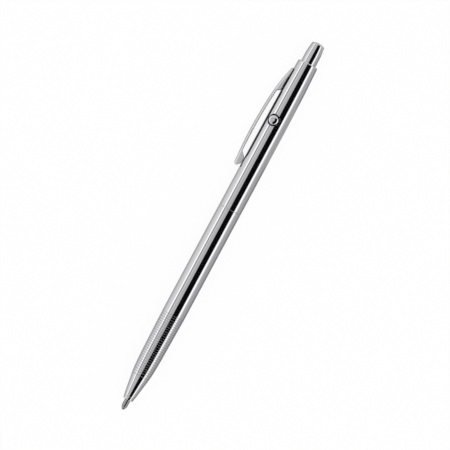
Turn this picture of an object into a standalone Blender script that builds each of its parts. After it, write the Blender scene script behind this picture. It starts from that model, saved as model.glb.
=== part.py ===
"""A slim all-metal ballpoint pen with a top push button and a side release, as its separate pieces.

Each piece is modelled about the pen's own axis X, with zero at the writing tip and the clip standing
toward Z. Two empties carry the pieces: pen_rest lays the pen on a desk, on its barrel and its clip,
and latch_side turns the latch parts to the release button's side. All lengths are in metres.
The pen is shown with its tip out, held by the latch.
"""

import math

import bmesh
import bpy
from mathutils import Matrix, Vector

MM = 0.001

# How finely round pieces are faceted
OUTER_FACETS = 32
INNER_FACETS = 20
SMALL_FACETS = 16
OUTLINE_STEPS = 12
ARC_STEPS = 4
WELD_DISTANCE = 0.001 * MM
SMOOTH_ANGLE = math.radians(35.0)

# Clearances between pieces
SLIDE_GAP = 0.05 * MM
SEAT_GAP = 0.05 * MM
CUT_OVERRUN = 1.0 * MM

# Refill: a metal tube with a stepped nose, a ball in its socket, a float behind the ink and a plug
REFILL_LENGTH = 88.0 * MM
REFILL_RADIUS = 2.5 * MM
REFILL_WALL = 0.3 * MM
REFILL_EDGE = 0.3 * MM
BALL_RADIUS = 0.45 * MM
BALL_GAP = 0.03 * MM
LIP_ANGLE = math.radians(70.0)
LIP_THICKNESS = 0.04 * MM
SOCKET_RADIUS = 0.93 * MM
SOCKET_CONE = 1.28 * MM
SOCKET_LENGTH = 7.5 * MM
SOCKET_SHANK_RADIUS = 0.6 * MM
SOCKET_SHANK_LENGTH = 2.5 * MM
INK_CHANNEL_RADIUS = 0.2 * MM
NOSE_RADIUS = 1.3 * MM
NOSE_EDGE = 0.3 * MM
NOSE_LENGTH = 5.45 * MM
NECK_RADIUS = 1.7 * MM
NECK_LENGTH = 8.0 * MM
COLLAR_LENGTH = 0.5 * MM
NOSE_SHANK_LENGTH = 3.5 * MM
FLOAT_FROM_PLUG = 7.0 * MM
FLOAT_LENGTH = 5.0 * MM
PLUG_HEAD_LENGTH = 1.45 * MM
PLUG_STEM_LENGTH = 4.5 * MM

# Return spring, coiled round the refill's neck
SPRING_WIRE_RADIUS = 0.2 * MM
SPRING_TURNS = 9
SPRING_POINTS_PER_TURN = 10
SPRING_NECK_GAP = 0.2 * MM
SPRING_BORE_GAP = 0.12 * MM

# Coupling sleeve, pressed into the upper barrel and screwed into the lower one
SLEEVE_REFILL_GAP = 0.2 * MM
SLEEVE_WALL = 0.5 * MM
SLEEVE_IN_LOWER = 7.2 * MM
SLEEVE_IN_UPPER = 7.1 * MM
SLEEVE_EDGE = 0.15 * MM

# Barrel walls, and the seam between its halves
UPPER_WALL = 0.5 * MM
LOWER_WALL = 0.75 * MM
SEAM_GAP = 0.05 * MM
SEAM_TO_CARRIER = 20.1 * MM

# Lower barrel: its nose with turned grip grooves, as shares of the nose's length and rise
TIP_REACH = 3.54 * MM
MOUTH_GAP = 0.17 * MM
MOUTH_WALL = 0.465 * MM
MOUTH_DEPTH = 2.86 * MM
NOSE_BORE_GAP = 0.2 * MM
SPRING_SEAT_AT = 12.0 * MM
SPRING_BORE_LENGTH = 5.5 * MM
BORE_CONE_LENGTH = 6.5 * MM
SOCKET_RECESS_GAP = 0.3 * MM
LOWER_TAPER_LENGTH = 30.0 * MM
LOWER_OUTLINE_SHARES = (
    (0.0, 0.0),
    (0.027, 0.10),
    (0.11, 0.29),
    (0.195, 0.465),
    (0.275, 0.64),
    (0.32, 0.72),
    (0.38, 0.78),
    (0.505, 0.86),
    (0.63, 0.90),
    (0.82, 0.95),
    (1.0, 1.0),
)
GROOVE_COUNT = 28
FIRST_GROOVE_AT = 11.86 * MM
FIRST_GROOVE_PITCH = 1.02 * MM
GROOVE_PITCH = 0.785 * MM
GROOVE_WIDTH = 0.24 * MM
GROOVE_DEPTH = 0.1 * MM

# Push button, with its guide bush, stop ring, thrust tube and thrust cup
BUTTON_TRAVEL = 5.0 * MM
BUTTON_OVERTRAVEL = 0.6 * MM
BUTTON_REACH = 7.3 * MM
BUTTON_RADIUS = 2.475 * MM
BUTTON_CROWN = 0.55 * MM
BUTTON_CROWN_RADIUS = 2.1 * MM
BUTTON_TAPER_SHARES = ((0.0, 0.0), (0.53, 0.35), (1.0, 1.0))
BUTTON_TAPER_LENGTH = 3.95 * MM
BUTTON_END_THICKNESS = 3.0 * MM
BUSH_WALL = 0.28 * MM
BUSH_LENGTH = 2.95 * MM
STOP_THICKNESS = 0.7 * MM
STOP_GAP = 0.1 * MM
STOP_BORE_GAP = 0.15 * MM
THRUST_RADIUS = 1.7 * MM
THRUST_BORE_RADIUS = 1.0 * MM
THRUST_REST_GAP = 0.2 * MM
CUP_THICKNESS = 1.5 * MM
CUP_RECESS_RADIUS = 1.5 * MM
CUP_RECESS_DEPTH = 0.5 * MM
CUP_SPIGOT_LENGTH = 2.5 * MM

# Latch: a leaf spring riveted in a carrier ring, whose bent end hooks into the thrust tube's groove
RELEASE_ANGLE = math.radians(70.0)
RELEASE_TRAVEL = 0.4 * MM
CARRIER_LENGTH = 5.0 * MM
CARRIER_WALL = 0.55 * MM
CARRIER_POCKET_GAP = 0.03 * MM
LEAF_DROP = 0.7 * MM
LEAF_THICKNESS = 0.2 * MM
LEAF_WIDTH = 2.2 * MM
LEAF_INSET = 1.0 * MM
LEAF_FREE_LENGTH = 6.0 * MM
TAB_AHEAD = 3.0 * MM
TAB_THICKNESS = 0.25 * MM
TAB_RADIUS = 2.65 * MM
TAB_OFFSET = 0.15 * MM
TAB_HOLE_EDGE = 0.1 * MM
LATCH_BITE = 0.2 * MM
LATCH_GROOVE_DEPTH = 0.35 * MM
RIVET_CLEAR = 1.2 * MM
RIVET_INSET = 3.2 * MM
RIVET_RADIUS = 0.45 * MM
RIVET_HEAD_RADIUS = 0.7 * MM
RIVET_HEAD_THICKNESS = 0.12 * MM
RIVET_HOLE_GAP = 0.05 * MM
RIVET_SINK = 0.1 * MM
RIVET_SINK_WALL = 0.2 * MM
CUP_RIVET_GAP = 0.18 * MM

# Release button, riveted to the leaf through its own hole
RELEASE_RADIUS = 1.6 * MM
RELEASE_HOLE_GAP = 0.25 * MM
RELEASE_REACH = 0.5 * MM
RELEASE_SHOULDER = 0.3 * MM
RELEASE_DOME_RADIUS = 2.3 * MM
RELEASE_SHANK_RADIUS = 0.5 * MM
RELEASE_HEAD_RADIUS = 0.75 * MM
RELEASE_HEAD_THICKNESS = 0.1 * MM

# Upper barrel: its taper toward the button end, as shares of the taper's length and drop
LATCH_TO_END = 17.7 * MM
LIP_LENGTH = 0.7 * MM
END_WALL = 0.45 * MM
END_EDGE = 0.35 * MM
UPPER_TAPER_LENGTH = 28.2 * MM
UPPER_OUTLINE_SHARES = ((0.0, 0.0), (0.25, 0.04), (0.55, 0.2), (0.75, 0.47), (0.91, 0.82), (1.0, 1.0))
BORE_TAPER_LENGTH = 12.1 * MM
NECK_BORE_LENGTH = 4.1 * MM

# Pocket clip: a pressed channel, closed at its foot and its top end, held by a tongue with a hook
CLIP_TO_END = 3.3 * MM
CLIP_LENGTH = 35.1 * MM
CLIP_REACH = 2.66 * MM
CLIP_HALF_WIDTH = 1.7 * MM
CLIP_EDGE_RADIUS = 0.45 * MM
CLIP_WEB = 0.5 * MM
CLIP_FLANGE = 0.45 * MM
CLIP_RECESS = 0.04 * MM
CLIP_OUTLINE_SHARES = (
    # along, top line, underside, half width, how open the channel is
    (0.0, 0.60, 0.40, 0.42, 0.0),
    (0.007, 0.71, 0.29, 0.60, 0.0),
    (0.02, 0.80, 0.17, 0.70, 0.0),
    (0.04, 0.84, 0.035, 0.75, 0.0),
    (0.088, 0.875, 0.03, 0.77, 0.0),
    (0.115, 0.895, 0.18, 0.78, 0.0),
    (0.132, 0.91, 0.38, 0.79, 0.0),
    (0.15, 0.925, 0.49, 0.80, 0.5),
    (0.18, 0.945, 0.53, 0.81, 1.0),
    (0.25, 0.975, 0.565, 0.83, 1.0),
    (0.34, 1.0, 0.59, 0.86, 1.0),
    (0.44, 0.985, 0.575, 0.89, 1.0),
    (0.56, 0.93, 0.52, 0.92, 1.0),
    (0.65, 0.865, 0.455, 0.95, 1.0),
    (0.71, 0.80, 0.39, 0.96, 1.0),
    (0.745, 0.755, 0.34, 0.97, 1.0),
    (0.762, 0.735, 0.27, 0.98, 1.0),
    (0.772, 0.72, 0.15, 0.98, 1.0),
    (0.78, 0.71, 0.02, 0.99, 1.0),
    (0.83, 0.64, -0.01, 1.0, 1.0),
    (0.88, 0.56, -0.02, 1.0, 1.0),
    (0.95, 0.40, -0.02, 0.98, 1.0),
    (0.985, 0.30, -0.02, 0.94, 0.0),
    (1.0, 0.23, 0.0, 0.86, 0.0),
)
TONGUE_THICKNESS = 0.6 * MM
TONGUE_WIDTH = 1.6 * MM
TONGUE_SLOT_GAP = 0.15 * MM
TONGUE_STOP_GAP = 0.2 * MM
HOOK_LENGTH = 1.2 * MM
HOOK_THICKNESS = 0.4 * MM
HOOK_BORE_GAP = 0.63 * MM
CLIP_SINK = 0.2 * MM

# Radii that follow from the refill outward
sleeve_bore_radius = REFILL_RADIUS + SLEEVE_REFILL_GAP
sleeve_radius = sleeve_bore_radius + SLEEVE_WALL
upper_bore_radius = sleeve_radius + SLIDE_GAP
barrel_radius = upper_bore_radius + UPPER_WALL
lower_bore_radius = barrel_radius - LOWER_WALL
bush_bore_radius = BUTTON_RADIUS + SLIDE_GAP
bush_radius = bush_bore_radius + BUSH_WALL
neck_bore_radius = bush_radius + SLIDE_GAP
end_radius = neck_bore_radius + END_WALL
stop_radius = neck_bore_radius - STOP_BORE_GAP
button_socket_radius = THRUST_RADIUS + SLIDE_GAP
spring_mean_radius = NECK_RADIUS + SPRING_NECK_GAP + SPRING_WIRE_RADIUS
spring_bore_radius = spring_mean_radius + SPRING_WIRE_RADIUS + SPRING_BORE_GAP
mouth_radius = SOCKET_RADIUS + MOUTH_GAP
mouth_rim_radius = mouth_radius + MOUTH_WALL
leaf_low = upper_bore_radius - LEAF_DROP
leaf_high = leaf_low + LEAF_THICKNESS
rivet_head_high = leaf_low - SLIDE_GAP / 2
rivet_head_low = rivet_head_high - RIVET_HEAD_THICKNESS
cup_radius = rivet_head_low - CUP_RIVET_GAP

# Places along the axis, each from the piece that sets it
collar_at = SOCKET_LENGTH + SEAT_GAP + NOSE_LENGTH + NECK_LENGTH
tube_at = collar_at + COLLAR_LENGTH + SEAT_GAP
plug_head_at = REFILL_LENGTH - PLUG_HEAD_LENGTH
tube_end = plug_head_at - SEAT_GAP
cup_at = REFILL_LENGTH + THRUST_REST_GAP
cup_end = cup_at + CUP_THICKNESS
rivet_at = REFILL_LENGTH + BUTTON_TRAVEL + RIVET_CLEAR
carrier_at = rivet_at - RIVET_INSET
carrier_end = carrier_at + CARRIER_LENGTH
seam_at = carrier_at - SEAM_TO_CARRIER
release_at = carrier_end + LEAF_FREE_LENGTH
tab_at = release_at + TAB_AHEAD
tab_end = tab_at + TAB_THICKNESS
barrel_end = tab_at + LATCH_TO_END
bush_end = barrel_end - LIP_LENGTH - SEAT_GAP
bush_at = bush_end - BUSH_LENGTH
stop_end = bush_at - BUTTON_TRAVEL - STOP_GAP
stop_at = stop_end - STOP_THICKNESS
button_at = stop_end + SEAT_GAP
button_end = barrel_end + BUTTON_REACH
clip_end = barrel_end - CLIP_TO_END
tongue_end = stop_at - BUTTON_OVERTRAVEL - TONGUE_STOP_GAP
tongue_at = tongue_end - TONGUE_THICKNESS


def clear_scene():
    for old in list(bpy.data.objects):
        bpy.data.objects.remove(old, do_unlink=True)


def metal(name, colour, roughness):
    """A bare or plated metal of one colour."""
    material = bpy.data.materials.new(name)
    material.use_nodes = True
    shader = material.node_tree.nodes["Principled BSDF"]
    shader.inputs["Base Color"].default_value = (*colour, 1.0)
    shader.inputs["Roughness"].default_value = roughness
    shader.inputs["Metallic"].default_value = 1.0
    return material


def plastic(name, colour, roughness):
    """A moulded plastic of one colour."""
    material = metal(name, colour, roughness)
    material.node_tree.nodes["Principled BSDF"].inputs["Metallic"].default_value = 0.0
    return material


def empty(name, parent=None, roll=0.0):
    """A carrier turned about the pen's axis by roll."""
    carrier = bpy.data.objects.new(name, None)
    bpy.context.scene.collection.objects.link(carrier)
    carrier.parent = parent
    carrier.rotation_euler.x = roll
    return carrier


def placed(name, mesh, parent, material):
    """The object that holds a finished mesh."""
    piece = bpy.data.objects.new(name, mesh)
    bpy.context.scene.collection.objects.link(piece)
    piece.parent = parent
    if material:
        mesh.materials.append(material)
    return piece


def closed_mesh(name, bm):
    """Welds the modelled shape, turns its faces outward and shades it smooth between sharp edges."""
    bmesh.ops.remove_doubles(bm, verts=bm.verts, dist=WELD_DISTANCE)
    bmesh.ops.recalc_face_normals(bm, faces=bm.faces)
    mesh = bpy.data.meshes.new(name)
    bm.to_mesh(mesh)
    bm.free()
    mesh.shade_smooth()
    mesh.set_sharp_from_angle(angle=SMOOTH_ANGLE)
    return mesh


def turned(name, profile, facets, parent, material=None):
    """A piece turned about its X axis. The profile holds (along, radius) points: a ring, or from
    the axis to the axis."""
    bm = bmesh.new()
    corners = [bm.verts.new((along, 0.0, radius)) for along, radius in profile]
    for near, far in zip(corners, corners[1:]):
        bm.edges.new((near, far))
    if profile[0][1] > 0.0:
        bm.edges.new((corners[-1], corners[0]))
    bmesh.ops.spin(
        bm,
        geom=bm.verts[:] + bm.edges[:],
        cent=Vector(),
        axis=Vector((1.0, 0.0, 0.0)),
        angle=math.tau,
        steps=facets,
        use_merge=True,
    )
    return placed(name, closed_mesh(name, bm), parent, material)


def turned_across(name, profile, facets, parent, along, material=None):
    """A piece turned about an axis that stands across the pen, at this place along it."""
    piece = turned(name, profile, facets, parent, material)
    piece.location.x = along
    piece.rotation_euler.y = math.radians(-90.0)
    return piece


def block(name, low, high, parent, material=None):
    """A box between two corners."""
    low, high = Vector(low), Vector(high)
    bm = bmesh.new()
    bmesh.ops.create_cube(bm, size=1.0, matrix=Matrix.LocRotScale((low + high) / 2, None, high - low))
    return placed(name, closed_mesh(name, bm), parent, material)


def lofted(name, sections, parent, material):
    """A skin over sections of as many points each, closed by its first and last section."""
    bm = bmesh.new()
    rings = [[bm.verts.new(point) for point in section] for section in sections]
    for near, far in zip(rings, rings[1:]):
        for index, corner in enumerate(near):
            bm.faces.new((near[index - 1], corner, far[index], far[index - 1]))
    bm.faces.new(rings[0])
    bm.faces.new(rings[-1])
    return placed(name, closed_mesh(name, bm), parent, material)


def boolean(piece, tool, operation):
    """Joins a tool shape to a piece, or cuts it away, and hides the tool."""
    tool.hide_render = True
    tool.display_type = "WIRE"
    modifier = piece.modifiers.new(tool.name, "BOOLEAN")
    modifier.operation = operation
    modifier.solver = "EXACT"
    modifier.object = tool


def arc(centre, radius, start, end, steps=ARC_STEPS):
    """Points of an arc in the (along, radius) plane, by its angle from the pen's axis."""
    for step in range(steps + 1):
        angle = start + (end - start) * step / steps
        yield (centre[0] + radius * math.cos(angle), centre[1] + radius * math.sin(angle))


def smooth_share(shares, at):
    """The value at a place on a smooth line through (place, value) pairs."""
    at = min(max(at, shares[0][0]), shares[-1][0])
    index = next(i for i in range(1, len(shares)) if at <= shares[i][0])
    (x0, y0), (x1, y1) = shares[index - 1], shares[index]

    def slope(i):
        before, after = max(i - 1, 0), min(i + 1, len(shares) - 1)
        return (shares[after][1] - shares[before][1]) / (shares[after][0] - shares[before][0])

    width = x1 - x0
    t = (at - x0) / width
    rise = y1 - y0
    start, end = slope(index - 1) * width, slope(index) * width
    return y0 + start * t + (3 * rise - 2 * start - end) * t**2 + (start + end - 2 * rise) * t**3


def lower_outline(along):
    """The lower barrel's outer radius."""
    share = smooth_share(LOWER_OUTLINE_SHARES, (along - TIP_REACH) / LOWER_TAPER_LENGTH)
    return mouth_rim_radius + (barrel_radius - mouth_rim_radius) * share


def upper_outline(along):
    """The upper barrel's outer radius."""
    taper_at = barrel_end - UPPER_TAPER_LENGTH
    share = smooth_share(UPPER_OUTLINE_SHARES, (along - taper_at) / UPPER_TAPER_LENGTH)
    return barrel_radius - (barrel_radius - end_radius) * share


def upper_bore(along):
    """The upper barrel's bore, which narrows toward the push button."""
    narrow_at = barrel_end - NECK_BORE_LENGTH
    share = (along - narrow_at + BORE_TAPER_LENGTH) / BORE_TAPER_LENGTH
    return upper_bore_radius - (upper_bore_radius - neck_bore_radius) * min(max(share, 0.0), 1.0)


def lower_barrel(parent, chrome):
    """The nose and grip: a tapered tube with turned grooves, bored in steps for the refill's nose
    and the return spring, and widened at the seam for the sleeve's thread."""
    grooves = [FIRST_GROOVE_AT]
    for count in range(GROOVE_COUNT - 1):
        grooves.append(FIRST_GROOVE_AT + FIRST_GROOVE_PITCH + GROOVE_PITCH * count)
    outline = []
    for step in range(OUTLINE_STEPS):
        along = TIP_REACH + (FIRST_GROOVE_AT - GROOVE_PITCH - TIP_REACH) * step / (OUTLINE_STEPS - 1)
        outline.append((along, lower_outline(along)))
    for groove in grooves:
        for offset, depth in ((-GROOVE_WIDTH / 2, 0.0), (0.0, GROOVE_DEPTH), (GROOVE_WIDTH / 2, 0.0)):
            outline.append((groove + offset, lower_outline(groove + offset) - depth))
    outline.append((grooves[-1] + GROOVE_PITCH, barrel_radius))
    end = seam_at - SEAM_GAP / 2
    thread_at = seam_at - SLEEVE_IN_LOWER - SOCKET_RECESS_GAP
    nose_bore_radius = NOSE_RADIUS + NOSE_BORE_GAP
    bore = [
        (end, barrel_radius),
        (end, upper_bore_radius),
        (thread_at, upper_bore_radius),
        (thread_at, lower_bore_radius),
        (SPRING_SEAT_AT + SPRING_BORE_LENGTH + BORE_CONE_LENGTH, lower_bore_radius),
        (SPRING_SEAT_AT + SPRING_BORE_LENGTH, spring_bore_radius),
        (SPRING_SEAT_AT, spring_bore_radius),
        (SPRING_SEAT_AT, nose_bore_radius),
        (TIP_REACH + MOUTH_DEPTH, nose_bore_radius),
        (TIP_REACH + MOUTH_DEPTH, mouth_radius),
        (TIP_REACH, mouth_radius),
    ]
    return turned("lower_barrel", outline + bore, OUTER_FACETS, parent, chrome)


def upper_barrel(parent, latch_side, chrome):
    """The tube above the seam, tapered toward the push button and turned in to a lip round it, with
    a round hole for the release button and a slot for the clip's tongue."""
    start = seam_at + SEAM_GAP / 2
    taper_at = barrel_end - UPPER_TAPER_LENGTH
    edge_at = barrel_end - END_EDGE
    outline = [(start, barrel_radius)]
    for step in range(OUTLINE_STEPS):
        along = taper_at + (edge_at - taper_at) * step / (OUTLINE_STEPS - 1)
        outline.append((along, upper_outline(along)))
    edge_centre = (edge_at, upper_outline(edge_at) - END_EDGE)
    outline += list(arc(edge_centre, END_EDGE, math.radians(90.0), 0.0))[1:]
    lip_at = barrel_end - LIP_LENGTH
    narrow_at = barrel_end - NECK_BORE_LENGTH
    bore = [
        (barrel_end, bush_bore_radius),
        (lip_at, bush_bore_radius),
        (lip_at, neck_bore_radius),
        (narrow_at, neck_bore_radius),
        (narrow_at - BORE_TAPER_LENGTH, upper_bore_radius),
        (start, upper_bore_radius),
    ]
    barrel = turned("upper_barrel", outline + bore, OUTER_FACETS, parent, chrome)
    hole_radius = RELEASE_RADIUS + RELEASE_HOLE_GAP
    hole = turned_across(
        "release_hole",
        [(0.0, 0.0), (0.0, hole_radius), (barrel_radius + CUT_OVERRUN, hole_radius),
         (barrel_radius + CUT_OVERRUN, 0.0)],
        INNER_FACETS,
        latch_side,
        release_at,
    )
    boolean(barrel, hole, "DIFFERENCE")
    slot_half = TONGUE_WIDTH / 2 + TONGUE_SLOT_GAP
    slot = block(
        "clip_slot",
        (tongue_at - TONGUE_SLOT_GAP, -slot_half, 0.0),
        (tongue_end + TONGUE_SLOT_GAP, slot_half, barrel_radius + CUT_OVERRUN),
        parent,
    )
    boolean(barrel, slot, "DIFFERENCE")
    return barrel


def coupling_sleeve(parent, brass):
    """The threaded tube that joins the two halves of the barrel at the seam."""
    start, end = seam_at - SLEEVE_IN_LOWER, seam_at + SLEEVE_IN_UPPER
    profile = [
        (start, sleeve_bore_radius),
        (start, sleeve_radius - SLEEVE_EDGE),
        (start + SLEEVE_EDGE, sleeve_radius),
        (end - SLEEVE_EDGE, sleeve_radius),
        (end, sleeve_radius - SLEEVE_EDGE),
        (end, sleeve_bore_radius),
    ]
    return turned("coupling_sleeve", profile, OUTER_FACETS, parent, brass)


def ring(name, start, end, bore_radius, radius, facets, parent, material):
    """A plain turned ring or tube."""
    profile = [(start, bore_radius), (start, radius), (end, radius), (end, bore_radius)]
    return turned(name, profile, facets, parent, material)


def push_button(parent, chrome):
    """The top button: a turned cap, tapered to a shallow crown, with a socket for the thrust tube."""
    crown_at = button_end - BUTTON_CROWN
    taper_at = crown_at - BUTTON_TAPER_LENGTH
    profile = [(button_at, button_socket_radius), (button_at, BUTTON_RADIUS)]
    for along, drop in BUTTON_TAPER_SHARES:
        radius = BUTTON_RADIUS - (BUTTON_RADIUS - BUTTON_CROWN_RADIUS) * drop
        profile.append((taper_at + BUTTON_TAPER_LENGTH * along, radius))
    edge = BUTTON_CROWN / 2
    edge_centre = (crown_at, BUTTON_CROWN_RADIUS - edge)
    profile += list(arc(edge_centre, edge, math.radians(90.0), math.radians(15.0)))[1:]
    profile += [
        (button_end - BUTTON_CROWN / 6, BUTTON_CROWN_RADIUS / 2),
        (button_end, 0.0),
    ]
    socket_end = button_end - BUTTON_END_THICKNESS
    profile = [(socket_end, 0.0), (socket_end, button_socket_radius)] + profile
    return turned("push_button", profile, OUTER_FACETS, parent, chrome)


def thrust_tube(parent, steel):
    """The long tube between the button and the refill, with the groove that the latch hooks into."""
    start = cup_end + SEAT_GAP
    end = button_end - BUTTON_END_THICKNESS - SEAT_GAP
    groove_radius = THRUST_RADIUS - LATCH_GROOVE_DEPTH
    groove_at = tab_at - SEAT_GAP
    groove_end = tab_end + BUTTON_OVERTRAVEL + STOP_GAP
    profile = [
        (start, THRUST_BORE_RADIUS),
        (start, THRUST_RADIUS),
        (groove_at, THRUST_RADIUS),
        (groove_at, groove_radius),
        (groove_end, groove_radius),
        (groove_end, THRUST_RADIUS),
        (end, THRUST_RADIUS),
        (end, THRUST_BORE_RADIUS),
    ]
    return turned("thrust_tube", profile, INNER_FACETS, parent, steel)


def thrust_cup(parent, steel):
    """The foot of the thrust tube, dished for the refill's end and plugged into the tube's bore."""
    spigot_radius = THRUST_BORE_RADIUS - SLIDE_GAP
    floor = cup_at + CUP_RECESS_DEPTH
    spigot_end = cup_end + CUP_SPIGOT_LENGTH
    profile = [
        (floor, 0.0),
        (floor, CUP_RECESS_RADIUS),
        (cup_at, CUP_RECESS_RADIUS),
        (cup_at, cup_radius),
        (cup_end, cup_radius),
        (cup_end, spigot_radius),
        (spigot_end, spigot_radius),
        (spigot_end, 0.0),
    ]
    return turned("thrust_cup", profile, INNER_FACETS, parent, steel)


def latch_carrier(parent, latch_side, brass):
    """The ring pressed into the upper barrel, with a flat pocket that seats the latch leaf."""
    radius = upper_bore_radius - SLIDE_GAP
    carrier = ring("latch_carrier", carrier_at, carrier_end, radius - CARRIER_WALL, radius,
                   OUTER_FACETS, parent, brass)
    pocket_high = leaf_high + CARRIER_POCKET_GAP
    pocket_half = LEAF_WIDTH / 2 + CARRIER_POCKET_GAP
    pocket = block(
        "carrier_pocket",
        (carrier_at + LEAF_INSET - CARRIER_POCKET_GAP, -pocket_half, 0.0),
        (carrier_end + CUT_OVERRUN, pocket_half, pocket_high),
        latch_side,
    )
    boolean(carrier, pocket, "DIFFERENCE")
    hole_radius = RIVET_RADIUS + RIVET_HOLE_GAP
    sink_radius = RIVET_HEAD_RADIUS + RIVET_HOLE_GAP
    sink_at = pocket_high + RIVET_SINK_WALL
    hole = turned_across(
        "carrier_hole",
        [(0.0, 0.0), (0.0, hole_radius), (sink_at, hole_radius), (sink_at, sink_radius),
         (radius + CUT_OVERRUN, sink_radius), (radius + CUT_OVERRUN, 0.0)],
        SMALL_FACETS,
        latch_side,
        rivet_at,
    )
    boolean(carrier, hole, "DIFFERENCE")
    return carrier


def latch_rivet(latch_side, steel):
    """The rivet that holds the leaf in its pocket, headed on both sides."""
    head_at = leaf_high + CARRIER_POCKET_GAP + RIVET_SINK_WALL + SLIDE_GAP / 2
    profile = [
        (rivet_head_low, 0.0),
        (rivet_head_low, RIVET_HEAD_RADIUS),
        (rivet_head_high, RIVET_HEAD_RADIUS),
        (rivet_head_high, RIVET_RADIUS),
        (head_at, RIVET_RADIUS),
        (head_at, RIVET_HEAD_RADIUS),
        (head_at + RIVET_SINK, RIVET_HEAD_RADIUS),
        (head_at + RIVET_SINK, 0.0),
    ]
    return turned_across("latch_rivet", profile, SMALL_FACETS, latch_side, rivet_at, steel)


def latch_spring(latch_side, spring_steel):
    """The leaf under the release button. Its bent end is a plate with a round hole: the thrust tube
    runs through it, and the hole's far edge hooks into the tube's groove."""
    half = LEAF_WIDTH / 2
    leaf = block(
        "latch_spring",
        (carrier_at + LEAF_INSET, -half, leaf_low),
        (tab_end, half, leaf_high),
        latch_side,
        spring_steel,
    )
    plate = turned(
        "latch_plate",
        [(tab_at, 0.0), (tab_at, TAB_RADIUS), (tab_end, TAB_RADIUS), (tab_end, 0.0)],
        OUTER_FACETS,
        latch_side,
    )
    plate.location.z = TAB_OFFSET
    boolean(leaf, plate, "UNION")
    far_edge = THRUST_RADIUS - LATCH_BITE
    near_edge = leaf_low - TAB_HOLE_EDGE
    hole_radius = (far_edge + near_edge) / 2
    hole = turned(
        "latch_plate_hole",
        [(tab_at - CUT_OVERRUN, 0.0), (tab_at - CUT_OVERRUN, hole_radius),
         (tab_end + CUT_OVERRUN, hole_radius), (tab_end + CUT_OVERRUN, 0.0)],
        OUTER_FACETS,
        latch_side,
    )
    hole.location.z = (near_edge - far_edge) / 2
    boolean(leaf, hole, "DIFFERENCE")
    for name, radius, along in (
        ("leaf_rivet_hole", RIVET_RADIUS + RIVET_HOLE_GAP, rivet_at),
        ("leaf_button_hole", RELEASE_SHANK_RADIUS + RIVET_HOLE_GAP, release_at),
    ):
        through = turned_across(
            name,
            [(0.0, 0.0), (0.0, radius), (leaf_high + CUT_OVERRUN, radius), (leaf_high + CUT_OVERRUN, 0.0)],
            SMALL_FACETS,
            latch_side,
            along,
        )
        boolean(leaf, through, "DIFFERENCE")
    return leaf


def release_button(latch_side, chrome):
    """The side button: a round domed head with a rounded shoulder, on a shank that is riveted over
    under the leaf."""
    top = upper_outline(release_at) + RELEASE_REACH
    head_high = leaf_low - SLIDE_GAP / 2
    head_low = head_high - RELEASE_HEAD_THICKNESS
    body_low = leaf_high + SLIDE_GAP
    dome_centre = (top - RELEASE_DOME_RADIUS, 0.0)
    inset = RELEASE_DOME_RADIUS - RELEASE_SHOULDER
    shoulder_angle = math.asin((RELEASE_RADIUS - RELEASE_SHOULDER) / inset)
    shoulder_centre = (dome_centre[0] + inset * math.cos(shoulder_angle), RELEASE_RADIUS - RELEASE_SHOULDER)
    profile = [
        (head_low, 0.0),
        (head_low, RELEASE_HEAD_RADIUS),
        (head_high, RELEASE_HEAD_RADIUS),
        (head_high, RELEASE_SHANK_RADIUS),
        (body_low, RELEASE_SHANK_RADIUS),
        (body_low, RELEASE_RADIUS),
    ]
    profile += list(arc(shoulder_centre, RELEASE_SHOULDER, math.radians(90.0), shoulder_angle))
    profile += list(arc(dome_centre, RELEASE_DOME_RADIUS, shoulder_angle, 0.0))[1:]
    return turned_across("release_button", profile, INNER_FACETS, latch_side, release_at, chrome)


def writing_ball(parent, carbide):
    """The ball at the tip, with its origin at its centre."""
    profile = [(-BALL_RADIUS, 0.0)]
    profile += list(arc((0.0, 0.0), BALL_RADIUS, math.pi, 0.0, SMALL_FACETS // 2))[1:-1]
    profile.append((BALL_RADIUS, 0.0))
    ball = turned("writing_ball", profile, SMALL_FACETS, parent, carbide)
    ball.location.x = BALL_RADIUS
    return ball


def ball_socket(parent, steel):
    """The turned point of the refill, closed in round the ball past its widest place and drilled
    for the ink."""
    seat_radius = BALL_RADIUS + BALL_GAP
    seat_end = math.pi - LIP_ANGLE
    seat_start = math.asin(INK_CHANNEL_RADIUS / seat_radius)
    seat = list(arc((BALL_RADIUS, 0.0), seat_radius, seat_start, seat_end, SMALL_FACETS // 2))
    lip_at, lip_radius = seat[-1]
    shank_end = SOCKET_LENGTH + SOCKET_SHANK_LENGTH
    profile = [
        (lip_at, lip_radius + LIP_THICKNESS),
        (SOCKET_CONE, SOCKET_RADIUS),
        (SOCKET_LENGTH, SOCKET_RADIUS),
        (SOCKET_LENGTH, SOCKET_SHANK_RADIUS),
        (shank_end, SOCKET_SHANK_RADIUS),
        (shank_end, INK_CHANNEL_RADIUS),
    ]
    return turned("ball_socket", profile + seat, SMALL_FACETS, parent, steel)


def refill_nose(parent, steel):
    """The refill's stepped front end: a nose, a neck for the return spring, a collar that the
    spring pushes on, and a shank inside the tube."""
    start = SOCKET_LENGTH + SEAT_GAP
    nose_end = start + NOSE_LENGTH
    collar_end = collar_at + COLLAR_LENGTH
    shank_end = collar_end + NOSE_SHANK_LENGTH
    shank_radius = REFILL_RADIUS - REFILL_WALL - SLIDE_GAP
    bore_radius = SOCKET_SHANK_RADIUS + SLIDE_GAP
    profile = [
        (start, bore_radius),
        (start, NOSE_RADIUS - NOSE_EDGE),
        (start + NOSE_EDGE, NOSE_RADIUS),
        (nose_end, NOSE_RADIUS),
        (nose_end, NECK_RADIUS),
        (collar_at, NECK_RADIUS),
        (collar_at, REFILL_RADIUS),
        (collar_end, REFILL_RADIUS),
        (collar_end, shank_radius),
        (shank_end, shank_radius),
        (shank_end, bore_radius),
    ]
    return turned("refill_nose", profile, INNER_FACETS, parent, steel)


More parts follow.
